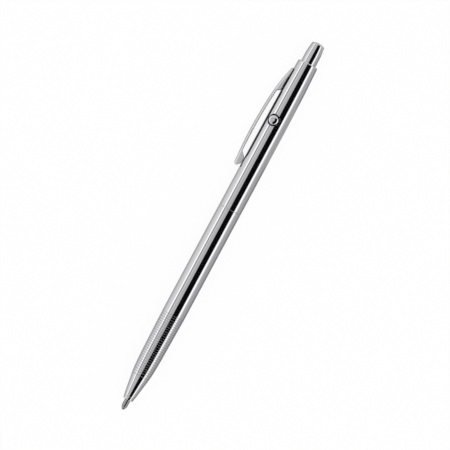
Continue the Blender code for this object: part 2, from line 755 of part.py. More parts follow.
def refill_plug(parent, material):
    """The plug that closes the refill's far end, which the thrust cup pushes on."""
    stem_radius = REFILL_RADIUS - REFILL_WALL - SLIDE_GAP
    stem_at = tube_end - PLUG_STEM_LENGTH
    profile = [
        (stem_at, 0.0),
        (stem_at, stem_radius),
        (plug_head_at, stem_radius),
        (plug_head_at, REFILL_RADIUS),
        (REFILL_LENGTH - REFILL_EDGE, REFILL_RADIUS),
        (REFILL_LENGTH, REFILL_RADIUS - REFILL_EDGE),
        (REFILL_LENGTH, 0.0),
    ]
    return turned("refill_plug", profile, INNER_FACETS, parent, material)


def ink_float(parent, material):
    """The follower that slides down the tube behind the ink."""
    end = tube_end - PLUG_STEM_LENGTH - FLOAT_FROM_PLUG
    start = end - FLOAT_LENGTH
    radius = REFILL_RADIUS - REFILL_WALL - SLIDE_GAP
    profile = [(start, 0.0), (start, radius), (end, radius), (end, 0.0)]
    return turned("ink_float", profile, INNER_FACETS, parent, material)


def return_spring(parent, spring_steel):
    """The coil round the refill's neck, from the step in the barrel's bore to the refill's collar.
    Its least gap to itself is measured between points that lie at least half a turn apart."""
    start = SPRING_SEAT_AT + SPRING_WIRE_RADIUS + SEAT_GAP
    end = collar_at - SPRING_WIRE_RADIUS - SEAT_GAP
    count = SPRING_TURNS * SPRING_POINTS_PER_TURN + 1
    points = []
    for index in range(count):
        angle = math.tau * index / SPRING_POINTS_PER_TURN
        along = start + (end - start) * index / (count - 1)
        across = (spring_mean_radius * math.cos(angle), spring_mean_radius * math.sin(angle))
        points.append(Vector((along, *across)))
    apart = SPRING_POINTS_PER_TURN // 2
    nearest = min((b - a).length for i, a in enumerate(points) for b in points[i + apart:])
    print(f"return_spring least gap {(nearest - 2 * SPRING_WIRE_RADIUS) / MM:.2f} mm")
    curve = bpy.data.curves.new("return_spring", "CURVE")
    curve.dimensions = "3D"
    curve.bevel_depth = SPRING_WIRE_RADIUS
    curve.bevel_resolution = 1
    curve.use_fill_caps = True
    spline = curve.splines.new("POLY")
    spline.points.add(count - 1)
    for knot, point in zip(spline.points, points):
        knot.co = (*point, 1.0)
    return placed("return_spring", curve, parent, spring_steel)


def clip_section(shares, pivot):
    """One section of the clip: a channel with rounded outer edges, open toward the barrel."""
    along_share, top_share, under_share, width_share, open_share = shares
    along = clip_end - CLIP_LENGTH * (1.0 - along_share)
    surface = upper_outline(along)
    top = surface + CLIP_REACH * top_share
    under = surface + CLIP_REACH * under_share
    closed = under + CLIP_RECESS
    ceiling = closed + (top - CLIP_WEB - closed) * open_share
    half = CLIP_HALF_WIDTH * width_share
    edge = min(CLIP_EDGE_RADIUS, (top - under) / 2)
    inner = half - min(CLIP_FLANGE, half / 2)
    right = [(half, under)]
    right += list(arc((half - edge, top - edge), edge, 0.0, math.radians(90.0), ARC_STEPS - 1))
    left = [(-y, z) for y, z in reversed(right)]
    channel = [(-inner, under), (-inner, ceiling), (inner, ceiling), (inner, under)]
    return [Vector((along, y, z)) - pivot for y, z in right + left + channel]


def pocket_clip(parent, chrome):
    """The clip, with its origin on the line that it bends about. A tongue goes down through the
    barrel's slot and turns into a hook inside."""
    pivot = Vector((clip_end, 0.0, end_radius))
    sections = [clip_section(shares, pivot) for shares in CLIP_OUTLINE_SHARES]
    clip = lofted("pocket_clip", sections, parent, chrome)
    clip.location = pivot
    along_share = 1.0 - (clip_end - tongue_at) / CLIP_LENGTH
    top_line = [(row[0], row[1]) for row in CLIP_OUTLINE_SHARES]
    top = upper_outline(tongue_at) + CLIP_REACH * smooth_share(top_line, along_share)
    hook_high = upper_bore(tongue_at - HOOK_LENGTH) - HOOK_BORE_GAP
    hook_low = hook_high - HOOK_THICKNESS
    half = TONGUE_WIDTH / 2
    tongue = block(
        "clip_tongue",
        (tongue_at, -half, hook_low),
        (tongue_end, half, top - CLIP_WEB + CLIP_SINK),
        parent,
    )
    hook = block(
        "clip_hook",
        (tongue_at - HOOK_LENGTH, -half, hook_low),
        (tongue_end, half, hook_high),
        parent,
    )
    boolean(clip, tongue, "UNION")
    boolean(clip, hook, "UNION")
    return clip


def points_of(piece):
    """A piece's finished points, in the pen's own frame."""
    graph = bpy.context.evaluated_depsgraph_get()
    finished = piece.evaluated_get(graph)
    mesh = finished.to_mesh()
    points = [finished.matrix_world @ vertex.co for vertex in mesh.vertices]
    finished.to_mesh_clear()
    return points


def lay_on_desk(pen, barrel, clip):
    """Rolls the pen until its barrel and its clip both touch the desk, then sets the middle of its
    underside at the world's origin."""
    bpy.context.view_layer.update()
    barrel_points = points_of(barrel)
    clip_points = points_of(clip)

    def lowest(points, dip):
        return min(-point.z * math.sin(dip) - point.y * math.cos(dip) for point in points)

    low, high = 0.0, math.radians(60.0)
    for _ in range(40):
        dip = (low + high) / 2
        if lowest(clip_points, dip) > lowest(barrel_points, dip):
            low = dip
        else:
            high = dip
    pen.rotation_euler.x = -(math.radians(90.0) + dip)
    bpy.context.view_layer.update()
    pieces = [piece for piece in bpy.data.objects if piece.type != "EMPTY" and not piece.hide_render]
    points = [point for piece in pieces for point in points_of(piece)]
    lower = Vector([min(point[axis] for point in points) for axis in range(3)])
    upper = Vector([max(point[axis] for point in points) for axis in range(3)])
    pen.location = (-(lower.x + upper.x) / 2, -(lower.y + upper.y) / 2, -lower.z)
    print(f"clip dips {math.degrees(dip):.3f} degrees, axis at {[round(v / MM, 4) for v in pen.location]} mm")


def build():
    clear_scene()
    chrome = metal("chrome_plate", (0.78, 0.78, 0.80), 0.06)
    steel = metal("turned_steel", (0.62, 0.62, 0.64), 0.28)
    spring_steel = metal("spring_steel", (0.50, 0.50, 0.52), 0.22)
    brass = metal("turned_brass", (0.72, 0.55, 0.28), 0.25)
    carbide = metal("ball_carbide", (0.45, 0.45, 0.47), 0.12)
    grey_plastic = plastic("grey_plastic", (0.35, 0.36, 0.38), 0.45)
    pen = empty("pen_rest")
    latch_side = empty("latch_side", pen, RELEASE_ANGLE)
    barrel = upper_barrel(pen, latch_side, chrome)
    lower_barrel(pen, chrome)
    coupling_sleeve(pen, brass)
    ring("guide_bush", bush_at, bush_end, bush_bore_radius, bush_radius, OUTER_FACETS, pen, brass)
    push_button(pen, chrome)
    ring("stop_ring", stop_at, stop_end, button_socket_radius, stop_radius, INNER_FACETS, pen, steel)
    thrust_tube(pen, steel)
    thrust_cup(pen, steel)
    latch_carrier(pen, latch_side, brass)
    latch_rivet(latch_side, steel)
    latch_spring(latch_side, spring_steel)
    release_button(latch_side, chrome)
    writing_ball(pen, carbide)
    ball_socket(pen, steel)
    refill_nose(pen, brass)
    ring("refill_tube", tube_at, tube_end, REFILL_RADIUS - REFILL_WALL, REFILL_RADIUS,
         INNER_FACETS, pen, steel)
    ink_float(pen, grey_plastic)
    refill_plug(pen, grey_plastic)
    return_spring(pen, spring_steel)
    clip = pocket_clip(pen, chrome)
    lay_on_desk(pen, barrel, clip)


build()
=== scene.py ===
"""Dresses a slim all-metal ballpoint pen, with a top push button and a side release, for one render.

The pen lies on a white table on its barrel and its clip. Each section below makes one piece, or one
group of like pieces, in the order in which the pen is put together. Pieces are modelled in
millimetres about the pen's own axis X, from zero at the writing tip, with the clip toward Z.
"""

import math

import bmesh
import bpy
from mathutils import Matrix, Vector


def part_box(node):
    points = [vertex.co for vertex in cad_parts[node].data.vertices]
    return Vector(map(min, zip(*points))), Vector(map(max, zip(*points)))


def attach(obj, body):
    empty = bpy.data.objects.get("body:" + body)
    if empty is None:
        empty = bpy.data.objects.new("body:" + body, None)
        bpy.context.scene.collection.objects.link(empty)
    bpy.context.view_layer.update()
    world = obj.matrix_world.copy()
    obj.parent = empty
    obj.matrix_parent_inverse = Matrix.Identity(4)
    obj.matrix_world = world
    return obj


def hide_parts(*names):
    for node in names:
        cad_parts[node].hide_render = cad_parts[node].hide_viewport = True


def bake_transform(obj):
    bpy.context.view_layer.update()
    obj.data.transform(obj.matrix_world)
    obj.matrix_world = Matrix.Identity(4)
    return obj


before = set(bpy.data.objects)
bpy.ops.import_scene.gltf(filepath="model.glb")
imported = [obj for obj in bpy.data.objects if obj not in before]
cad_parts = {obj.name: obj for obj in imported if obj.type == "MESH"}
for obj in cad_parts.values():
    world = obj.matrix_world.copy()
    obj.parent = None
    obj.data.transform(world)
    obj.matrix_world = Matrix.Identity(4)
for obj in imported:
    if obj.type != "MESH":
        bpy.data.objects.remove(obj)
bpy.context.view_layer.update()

# Table and camera: the pen lies on its barrel and its clip, so that the clip points down and aside by
# its dip. The camera looks down across the clip, as the photo does, through a long lens that keeps
# the barrel's sides parallel.
MM = 0.001
CLIP_DIP = math.radians(23.173)
LEAN = math.radians(28.25)
LENS = 200.0
SENSOR = 36.0
VIEW_WIDTH = 140.8
AIM_ALONG = 66.03
AIM_ASIDE = 0.935

lengthwise = Vector((1.0, 0.0, 0.0))
clipward = Vector((0.0, math.cos(CLIP_DIP), -math.sin(CLIP_DIP)))
facing = Vector((0.0, math.sin(CLIP_DIP), math.cos(CLIP_DIP)))

tube_low, tube_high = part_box("refill_tube")
pen_start = (tube_low + tube_high) / 2
pen_start.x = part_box("writing_ball")[0].x
pen_place = (
    Matrix.Translation(pen_start)
    @ Matrix.Rotation(-math.radians(90.0) - CLIP_DIP, 4, "X")
    @ Matrix.Scale(MM, 4)
)



def placed(name, data):
    """An object, put in the scene."""
    made = bpy.data.objects.new(name, data)
    bpy.context.scene.collection.objects.link(made)
    return made


rightward = lengthwise * math.sin(LEAN) - clipward * math.cos(LEAN)
upward = lengthwise * math.cos(LEAN) + clipward * math.sin(LEAN)
aim = pen_start + lengthwise * AIM_ALONG * MM - clipward * AIM_ASIDE * MM
distance = VIEW_WIDTH * MM * LENS / SENSOR
camera = placed("camera", bpy.data.cameras.new("camera"))
camera.data.lens = LENS
camera.data.sensor_width = SENSOR
camera.data.clip_start = 0.01
camera.matrix_world = (
    Matrix.Translation(aim + facing * distance)
    @ Matrix((rightward, upward, facing)).transposed().to_4x4()
)
bpy.context.scene.camera = camera
bpy.context.scene.view_settings.view_transform = "Standard"

# Studio: white paper all round, which metal sees with the panels that stand beside a product
# camera: a black flag at the lens, white strips next to it, and greys at the sides. Each panel is
# given by its turn about the pen, from the camera toward the side away from the clip.
PANELS = (
    # turn in degrees, brightness
    (-180.0, 0.78), (-76.0, 0.83), (-69.0, 0.88), (-67.5, 1.36), (-58.0, 1.36), (-56.0, 0.82),
    (-52.5, 0.68), (-51.0, 0.22), (-45.5, 0.22), (-44.0, 0.63), (-37.0, 0.70), (-30.0, 0.62),
    (-22.0, 0.54), (-12.0, 0.58), (-6.5, 0.58), (-3.0, 0.003), (45.0, 0.003), (49.5, 1.1),
    (53.0, 1.35), (60.0, 1.35), (67.0, 0.92), (72.0, 0.70), (78.0, 0.52), (85.0, 0.46),
    (113.0, 0.44), (180.0, 0.75),
)
END_GREY = 0.75
TIP_END = (0.84, 0.94)
BUTTON_END_SIDE = (0.58, 0.74)
# Past the button's end, the table's painted reflection turns to the end grey.
PAINTED_END_REFLECTION = (0.0655, 0.070)
# In reflections the table glows with these greys: a painted reflection, darker near the pen as painted shade.
FLOOR_PAINTED_REFLECTION = (
    # place across the pen in millimetres, brightness of the painted reflection that metal sees there
    (-900.0, 0.45), (-200.0, 0.42), (-60.0, 0.33), (-33.0, 0.28), (-15.0, 0.25), (-7.0, 0.26),
    (-2.0, 0.32), (1.5, 0.42), (3.7, 0.46), (5.0, 0.55), (6.5, 0.66), (9.0, 0.77), (14.0, 0.80),
    (30.0, 0.83), (65.0, 0.85), (200.0, 0.88), (320.0, 1.1), (900.0, 1.36),
)
# Beside the clip, metal sees a darker patch of the table's painted reflection, as painted shade: how it fades
# in and out along the pen, and out across it.
PAINTED_CLIP_SHADE_FADES = (("X", 0.021, 0.026), ("X", 0.048, 0.044), ("Y", 0.0085, 0.0070))
PAINTED_CLIP_SHADE_LEVEL = 0.42
FLOOR_NEAR = 8.0
FLOOR_HALF = 1.5
FLOOR_WHITE = 0.98
FLOOR_GLOW = 0.93
ROOM_LIGHT = 0.86
KEY_LIGHT = 0.45
KEY_SPREAD = math.radians(40.0)


def fitted(tree, node, inputs):
    """Sets a node's inputs to values, or links them to other nodes' outputs."""
    for key, value in inputs.items():
        if isinstance(value, bpy.types.NodeSocket):
            tree.links.new(value, node.inputs[key])
        else:
            node.inputs[key].default_value = value


def wired(tree, kind, inputs=None, output=0, **settings):
    """One output, if it has any, of a new node with its settings and its inputs."""
    made = tree.nodes.new(kind)
    for setting, value in settings.items():
        setattr(made, setting, value)
    fitted(tree, made, inputs or {})
    return made.outputs[output] if made.outputs else None


def split(tree, place):
    """The X, Y and Z of a place."""
    return wired(tree, "ShaderNodeSeparateXYZ", {0: place}).node.outputs


def sum_of(tree, operation, first, second=0.0, third=0.0):
    """The output of one sum."""
    return wired(tree, "ShaderNodeMath", {0: first, 1: second, 2: third}, operation=operation)


def product(tree, first, *others):
    """The output of a multiplication."""
    for other in others:
        first = sum_of(tree, "MULTIPLY", first, other)
    return first


def swept(tree, value, start, end, low=0.0, high=1.0, shape="LINEAR"):
    """A number that goes from low to high while a value goes from start to end."""
    inputs = {"Value": value, "From Min": start, "From Max": end, "To Min": low, "To Max": high}
    return wired(tree, "ShaderNodeMapRange", inputs, interpolation_type=shape)


def grey(level):
    """A colour without a tint."""
    return (level, level, level, 1.0)


def blended(tree, share, first, second):
    """A colour between two colours."""
    return wired(tree, "ShaderNodeMix", {0: share, 6: first, 7: second}, output=2, data_type="RGBA")


def grey_ramp(tree, value, low, high, stops):
    """A line of greys read at a value between low and high."""
    colour = wired(tree, "ShaderNodeValToRGB", {"Fac": swept(tree, value, low, high)})
    elements = colour.node.color_ramp.elements
    while len(elements) > 1:
        elements.remove(elements[-1])
    for index, (at, level) in enumerate(stops):
        place = (at - low) / (high - low)
        element = elements[0] if index == 0 else elements.new(place)
        element.position = place
        element.color = grey(level)
    return colour


def seen_in_metal(tree):
    """One for rays that come from a gloss or through glass, and nothing for the rest."""
    gloss = wired(tree, "ShaderNodeLightPath", output="Is Glossy Ray")
    glass = wired(tree, "ShaderNodeLightPath", output="Is Transmission Ray")
    return sum_of(tree, "MAXIMUM", gloss, glass)


studio = bpy.data.worlds.new("studio")
bpy.context.scene.world = studio
studio.use_nodes = True
room = studio.node_tree
room.nodes.clear()
look = wired(room, "ShaderNodeTexCoord", output="Generated")
aside, toward_lens = (
    wired(room, "ShaderNodeVectorMath", {0: look, 1: axis}, output="Value", operation="DOT_PRODUCT")
    for axis in (-clipward, facing)
)
turn = sum_of(room, "ARCTAN2", aside, toward_lens)
in_metal = grey_ramp(room, turn, -math.pi, math.pi, [(math.radians(at), level) for at, level in PANELS])
sideways = split(room, look)["X"]
tipwards = product(room, sideways, -1.0)
for toward, (start, end) in ((tipwards, TIP_END), (sideways, BUTTON_END_SIDE)):
    endwise = swept(room, toward, start, end, shape="SMOOTHSTEP")
    in_metal = blended(room, endwise, in_metal, grey(END_GREY))
camera_rays = wired(room, "ShaderNodeLightPath", output="Is Camera Ray")
paper = blended(room, camera_rays, grey(ROOM_LIGHT), grey(1.0))
room_colour = blended(room, seen_in_metal(room), paper, in_metal)
backdrop = wired(room, "ShaderNodeBackground", {"Color": room_colour})
wired(room, "ShaderNodeOutputWorld", {"Surface": backdrop})

key = placed("key_light", bpy.data.lights.new("key_light", "SUN"))
key.data.energy = KEY_LIGHT
key.data.angle = KEY_SPREAD
key.matrix_world = (facing * 2.0 + clipward + lengthwise).to_track_quat("Z", "Y").to_matrix().to_4x4()
key.visible_glossy = False

floor_mesh = bpy.data.meshes.new("table_top")
floor_corners = [(x * FLOOR_HALF, y * FLOOR_HALF, 0.0) for x, y in ((-1, -1), (1, -1), (1, 1), (-1, 1))]
floor_mesh.from_pydata(floor_corners, [], [(0, 1, 2, 3)])
table_top = placed("table_top", floor_mesh)
paper_white = bpy.data.materials.new("paper_white")
paper_white.use_nodes = True
sheet = paper_white.node_tree
sheet.nodes.clear()
# Camera rays see the table white. Reflections see it glow with painted greys, darker near the pen and beside
# the clip as painted shade.
on_table = split(sheet, wired(sheet, "ShaderNodeTexCoord", output="Object"))
out_from_pen = sum_of(sheet, "ARCTANGENT", sum_of(sheet, "DIVIDE", on_table["Y"], FLOOR_NEAR * MM))
painted_reflection_stops = [(math.atan(at / FLOOR_NEAR), level) for at, level in FLOOR_PAINTED_REFLECTION]
painted_reflection_beside_pen = grey_ramp(sheet, out_from_pen, painted_reflection_stops[0][0], painted_reflection_stops[-1][0], painted_reflection_stops)
past_button = swept(sheet, on_table["X"], *PAINTED_END_REFLECTION)
painted_shade_share = 1.0
for axis, start, end in PAINTED_CLIP_SHADE_FADES:
    fade = swept(sheet, on_table[axis], start, end, shape="SMOOTHSTEP")
    painted_shade_share = product(sheet, painted_shade_share, fade)
reflection_with_painted_shade = blended(sheet, painted_shade_share, painted_reflection_beside_pen, grey(PAINTED_CLIP_SHADE_LEVEL))
painted_floor_glow = blended(sheet, past_button, reflection_with_painted_shade, grey(END_GREY))
matt = wired(sheet, "ShaderNodeBsdfDiffuse", {"Color": grey(FLOOR_WHITE)})
white_glow = wired(sheet, "ShaderNodeEmission", {"Color": grey(1.0)})
painted_reflection_glow = wired(sheet, "ShaderNodeEmission", {"Color": painted_floor_glow})
camera_rays = wired(sheet, "ShaderNodeLightPath", output="Is Camera Ray")
camera_share = product(sheet, camera_rays, FLOOR_GLOW)
paper_look = wired(sheet, "ShaderNodeMixShader", {0: camera_share, 1: matt, 2: white_glow})
floor_look = wired(sheet, "ShaderNodeMixShader", {0: seen_in_metal(sheet), 1: paper_look, 2: painted_reflection_glow})
wired(sheet, "ShaderNodeOutputMaterial", {"Surface": floor_look})
floor_mesh.materials.append(paper_white)

# Writing ball: tungsten carbide, ground and lapped round, with the faint marks of the lapping. It
# sits loose in its socket.
BALL_RADIUS = 0.45
BALL_FACETS = 48
ROUND_FACETS = 96
NEARLY_NOTHING = 1e-6
SHARP_ANGLE = math.radians(40.0)
DRIFTS_PER_METRE = 140.0
SMEARS_PER_METRE = 420.0


def noise(tree, place, scale, detail, roughness=0.5):
    """A noise that changes with the place."""
    inputs = {"Vector": place, "Scale": scale, "Detail": detail, "Roughness": roughness}
    return wired(tree, "ShaderNodeTexNoise", inputs)


def metal_finish(name, colour, dullness, spread, marks, mark_height, drift=0.05):
    """A bare or plated metal. Its colour drifts a little from place to place, and fine marks, given
    as a count per metre along the pen and across it, change its gloss and stand up by their height."""
    finish = bpy.data.materials.new(name)
    finish.use_nodes = True
    tree = finish.node_tree
    shader = tree.nodes["Principled BSDF"]
    place = wired(tree, "ShaderNodeTexCoord", output="Object")
    drifting = noise(tree, place, DRIFTS_PER_METRE, 3.0)
    darker = tuple(channel * (1.0 - drift) for channel in colour)
    tinted = blended(tree, drifting, (*darker, 1.0), (*colour, 1.0))
    along, across = marks
    stretched = wired(tree, "ShaderNodeMapping", {"Vector": place, "Scale": (along, across, across)})
    fine = noise(tree, stretched, 1.0, 4.0, 0.6)
    worn = product(tree, fine, noise(tree, place, SMEARS_PER_METRE, 2.0))
    gloss = swept(tree, worn, 0.1, 0.4, dullness - spread, dullness + spread)
    fitted(tree, shader, {"Metallic": 1.0, "Base Color": tinted, "Roughness": gloss})
    if mark_height > 0.0:
        relief = wired(tree, "ShaderNodeBump", {"Height": fine, "Strength": 1.0, "Distance": mark_height})
        fitted(tree, shader, {"Normal": relief})
    return finish


def shaded(bm):
    """The mesh of finished faces, turned outwards and shaded smooth up to the sharp edges."""
    bmesh.ops.recalc_face_normals(bm, faces=bm.faces)
    mesh = bpy.data.meshes.new("shaded")
    bm.to_mesh(mesh)
    bm.free()
    mesh.shade_smooth()
    mesh.set_sharp_from_angle(angle=SHARP_ANGLE)
    return mesh


def turned(outline, facets=ROUND_FACETS, skin=()):
    """A mesh turned about the pen's axis from (along, radius) points: a closed line round a bore, or
    a line from axis to axis. The points of the outline whose numbers are in skin are marked, so that
    a pattern can be cut into them alone."""
    bm = bmesh.new()
    marked = bm.verts.layers.float.new("skin")
    rings = []
    for number, (along, radius) in enumerate(outline):
        count = facets if radius > NEARLY_NOTHING else 1
        ring = []
        for step in range(count):
            angle = math.tau * step / count
            ring.append(bm.verts.new((along, radius * math.sin(angle), radius * math.cos(angle))))
            ring[-1][marked] = 1.0 if number in skin else 0.0
        rings.append(ring)
    pairs = list(zip(rings, rings[1:]))
    if len(rings[0]) > 1:
        pairs.append((rings[-1], rings[0]))
    for near, far in pairs:
        for step in range(max(len(near), len(far))):
            corners = []
            for ring, shift in ((near, 0), (near, 1), (far, 1), (far, 0)):
                corner = ring[(step + shift) % len(ring)]
                if corner not in corners:
                    corners.append(corner)
            bm.faces.new(corners)
    return shaded(bm)


def arc(centre, radius, start, end, steps=8):
    """Points of an arc about a centre, between two angles in degrees from its first axis."""
    for step in range(steps + 1):
        angle = math.radians(start + (end - start) * step / steps)
        yield (centre[0] + radius * math.cos(angle), centre[1] + radius * math.sin(angle))


def dressed(name, mesh, finish, others=()):
    """The object of a finished mesh in the pen's millimetres, put in its place and given its finish,
    with other finishes on the faces that each one's test picks out."""
    mesh.name = name
    mesh.materials.clear()
    mesh.materials.append(finish)
    marks = [0] * len(mesh.polygons)
    for number, (other, wanted) in enumerate(others, 1):
        mesh.materials.append(other)
        marks = [number if wanted(face) else mark for face, mark in zip(mesh.polygons, marks)]
    mesh.polygons.foreach_set("material_index", marks)
    mesh.transform(pen_place)
    return placed(name, mesh)


def pen_piece(name, mesh, finish, body, slot, *nodes, others=()):
    """A finished piece, fitted to the CAD body and the nodes that it stands for."""
    piece = dressed(name, mesh, finish, others)
    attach(piece, body)
    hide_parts(*nodes)
    return piece


lapped_carbide = metal_finish("lapped_carbide", (0.30, 0.30, 0.32), 0.14, 0.05, (9000.0, 9000.0), 2e-7)
ball_outline = [(0.0, 0.0)]
ball_outline += list(arc((BALL_RADIUS, 0.0), BALL_RADIUS, 180.0, 0.0, BALL_FACETS // 2))[1:-1]
ball_outline.append((2 * BALL_RADIUS, 0.0))
ball_mesh = turned(ball_outline, BALL_FACETS)
pen_piece("lapped_ball", ball_mesh, lapped_carbide, "refill", "ball_carbide", "writing_ball")

# Ball socket: the refill's point, turned from stainless steel. Its lip is closed in round the ball
# after the ball is dropped in, and its shank is pressed into the refill's nose.
SOCKET_RADIUS = 0.93
SOCKET_CONE_END = 1.28
SOCKET_END = 7.5
SOCKET_SHANK_RADIUS = 0.6
SOCKET_SHANK_END = 10.0
INK_CHANNEL_RADIUS = 0.2
SEAT_RADIUS = 0.48
LIP_THICKNESS = 0.04
FEW_FACETS = 64
LINE_BESIDE = 0.03
MOST_OF_SIDE = 0.45
EDGE_STEPS = 4
NEARLY_STRAIGHT = math.radians(83.0)


def eased(corners, radius, closed=True):
    """An outline with its corners rounded off, and a line close beside each rounding so that the
    long sides shade clean. A corner may give its own radius as a third number."""
    line = []
    count = len(corners)
    for index, corner in enumerate(corners):
        here = Vector(corner[:2])
        if not closed and index in (0, count - 1):
            line.append(tuple(here))
            continue
        back = Vector(corners[index - 1][:2]) - here
        ahead = Vector(corners[(index + 1) % count][:2]) - here
        half = back.angle(ahead) / 2
        if half > NEARLY_STRAIGHT:
            line.append(tuple(here))
            continue
        wanted = corner[2] if len(corner) > 2 else radius
        reach = min(wanted / math.tan(half), MOST_OF_SIDE * back.length, MOST_OF_SIDE * ahead.length)
        back.normalize()
        ahead.normalize()
        round_off = reach * math.tan(half)
        centre = here + (back + ahead).normalized() * round_off / math.sin(half)
        beside = min(LINE_BESIDE, reach * 0.1)
        line.append(tuple(here + back * (reach + beside)))
        start = (here + back * reach) - centre
        end = (here + ahead * reach) - centre
        swing = start.angle_signed(end)
        for step in range(EDGE_STEPS + 1):
            line.append(tuple(centre + Matrix.Rotation(-swing * step / EDGE_STEPS, 2) @ start))
        line.append(tuple(here + ahead * (reach + beside)))
    return line


turned_steel = metal_finish("turned_steel", (0.45, 0.45, 0.47), 0.20, 0.06, (16000.0, 300.0), 6e-7)
channel_edge = math.degrees(math.asin(INK_CHANNEL_RADIUS / SEAT_RADIUS))
seat = list(arc((BALL_RADIUS, 0.0), SEAT_RADIUS, channel_edge, 110.0, 16))
lip_along, lip_radius = seat[-1]
socket_outline = eased(
    [(lip_along, lip_radius + LIP_THICKNESS, 0.01), (SOCKET_CONE_END, SOCKET_RADIUS, 0.3),
     (SOCKET_END, SOCKET_RADIUS), (SOCKET_END, SOCKET_SHANK_RADIUS),
     (SOCKET_SHANK_END, SOCKET_SHANK_RADIUS, 0.1), (SOCKET_SHANK_END, INK_CHANNEL_RADIUS)],
    0.05,
    closed=False,
) + seat
pen_piece("refill_point", turned(socket_outline, FEW_FACETS), turned_steel, "refill", "turned_steel",
          "ball_socket")

# Refill nose: a stepped brass plug, turned and drilled, that carries the point. The return spring
# goes round its neck and pushes on its collar, and its shank is pressed into the tube.
turned_brass = metal_finish("turned_brass", (0.72, 0.55, 0.28), 0.24, 0.08, (14000.0, 300.0), 6e-7)
nose_outline = eased(
    [(7.55, 0.65), (7.55, 1.0), (7.85, 1.3), (13.0, 1.3), (13.0, 1.7), (21.0, 1.7), (21.0, 2.5),
     (21.5, 2.5), (21.5, 2.15), (25.0, 2.15), (25.0, 0.65)],
    0.08,
)
pen_piece("brass_nose", turned(nose_outline, FEW_FACETS), turned_brass, "refill", "turned_brass",
          "refill_nose")

# Refill tube: drawn stainless tube, cut to length and rolled in with two shallow rings that hold the
# nose. The ink stands in it, with a float behind and a plug at the end.
drawn_steel = metal_finish("drawn_steel", (0.62, 0.62, 0.64), 0.26, 0.08, (500.0, 12000.0), 5e-7)
TUBE_START, TUBE_END = 21.55, 86.5
TUBE_RADIUS, TUBE_BORE = 2.5, 2.2
CRIMPS = (23.1, 24.1)
CRIMP_WIDTH = 0.5
CRIMP_DEPTH = 0.035
CRIMP_STEPS = 8
tube_outer = [(TUBE_START, TUBE_RADIUS, 0.08)]
for crimp in CRIMPS:
    for step in range(CRIMP_STEPS + 1):
        share = step / CRIMP_STEPS
        sink = CRIMP_DEPTH * (1.0 - math.cos(math.tau * share)) / 2
        tube_outer.append((crimp + CRIMP_WIDTH * (share - 0.5), TUBE_RADIUS - sink))
tube_outer += [(TUBE_END, TUBE_RADIUS, 0.08), (TUBE_END, TUBE_BORE), (TUBE_START, TUBE_BORE)]
pen_piece("drawn_tube", turned(eased(tube_outer, 0.06), FEW_FACETS), drawn_steel, "refill", "turned_steel",
          "refill_tube")

# Float and plug: moulded grey plastic. The float follows the ink down the tube, and the plug closes
# the tube's end, where the thrust cup pushes.
MOTTLES_PER_METRE = 900.0
GRAINS_PER_METRE = 9000.0
GRAIN_HEIGHT = 4e-6
grey_plastic = bpy.data.materials.new("moulded_grey")
grey_plastic.use_nodes = True
resin = grey_plastic.node_tree
resin_place = wired(resin, "ShaderNodeTexCoord", output="Object")
mottle = noise(resin, resin_place, MOTTLES_PER_METRE, 4.0)
resin_colour = blended(resin, mottle, (0.33, 0.34, 0.36, 1.0), (0.37, 0.38, 0.40, 1.0))
resin_gloss = swept(resin, mottle, 0.0, 1.0, 0.38, 0.52)
mould_grain = noise(resin, resin_place, GRAINS_PER_METRE, 2.0)
texture = wired(resin, "ShaderNodeBump", {"Height": mould_grain, "Distance": GRAIN_HEIGHT})
resin_look = {"Base Color": resin_colour, "Roughness": resin_gloss, "Normal": texture}
fitted(resin, resin.nodes["Principled BSDF"], resin_look)
MOULDED_PARTS = (
    # piece, node, how far its edges are rounded, outline
    ("moulded_float", "ink_float", 0.3, (
        (70.0, 0.0), (70.0, 2.15), (75.0, 2.15), (75.0, 0.0))),
    ("moulded_plug", "refill_plug", 0.06, (
        (82.0, 0.0), (82.0, 2.15, 0.4), (86.55, 2.15, 0.02), (86.55, 2.5), (88.0, 2.5, 0.3), (88.0, 0.0))),
)
for name, node, edge, outline in MOULDED_PARTS:
    mesh = turned(eased(outline, edge, closed=False), FEW_FACETS)
    pen_piece(name, mesh, grey_plastic, "refill", "grey_plastic", node)

# Return spring: hard-drawn spring wire, coiled round the refill's neck with its end turns closed up.
# It stands between the step in the lower barrel's bore and the nose's collar, whose moves squeeze and
# stretch it. When the lower barrel is drawn off, it stays on the neck.
COIL_SIZES = {
    "Start": 12.25, "Length": 8.5, "Coil Radius": 2.1, "Wire Radius": 0.2,
    "Closed Turns": 1.25, "Open Turns": 7.5, "Points Per Turn": 36.0,
}
CLOSED_PITCH = 2.04
WIRE_FACETS = 14


def flexing(name, mesh, finish, node, others=()):
    """A springy piece, put in its place with the CAD node that it stands for hidden."""
    piece = dressed(name, mesh, finish, others)
    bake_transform(piece)
    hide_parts(node)


def tree_with(name, sizes):
    """A Geometry Nodes tree that takes a start mesh, named sizes and a finish, and these inputs."""
    tree = bpy.data.node_groups.new(name, "GeometryNodeTree")
    face = tree.interface
    face.new_socket("Geometry", in_out="INPUT", socket_type="NodeSocketGeometry")
    for size in sizes:
        face.new_socket(size, in_out="INPUT", socket_type="NodeSocketFloat")
    face.new_socket("Finish", in_out="INPUT", socket_type="NodeSocketMaterial")
    face.new_socket("Geometry", in_out="OUTPUT", socket_type="NodeSocketGeometry")
    return tree, tree.nodes.new("NodeGroupInput").outputs


def finished(tree, sizes, geometry):
    """Ends a tree: everything made real, shaded smooth and given the finish."""
    smooth = wired(tree, "GeometryNodeSetShadeSmooth", {"Geometry": geometry})
    real = wired(tree, "GeometryNodeRealizeInstances", {"Geometry": smooth})
    coated = wired(tree, "GeometryNodeSetMaterial", {"Geometry": real, "Material": sizes["Finish"]})
    wired(tree, "NodeGroupOutput", {0: coated})


def worked_out(carrier):
    """The plain mesh of an object with its modifiers worked out. The object itself is removed."""
    graph = bpy.context.evaluated_depsgraph_get()
    made = bpy.data.meshes.new_from_object(carrier.evaluated_get(graph), depsgraph=graph)
    bpy.data.objects.remove(carrier)
    return made


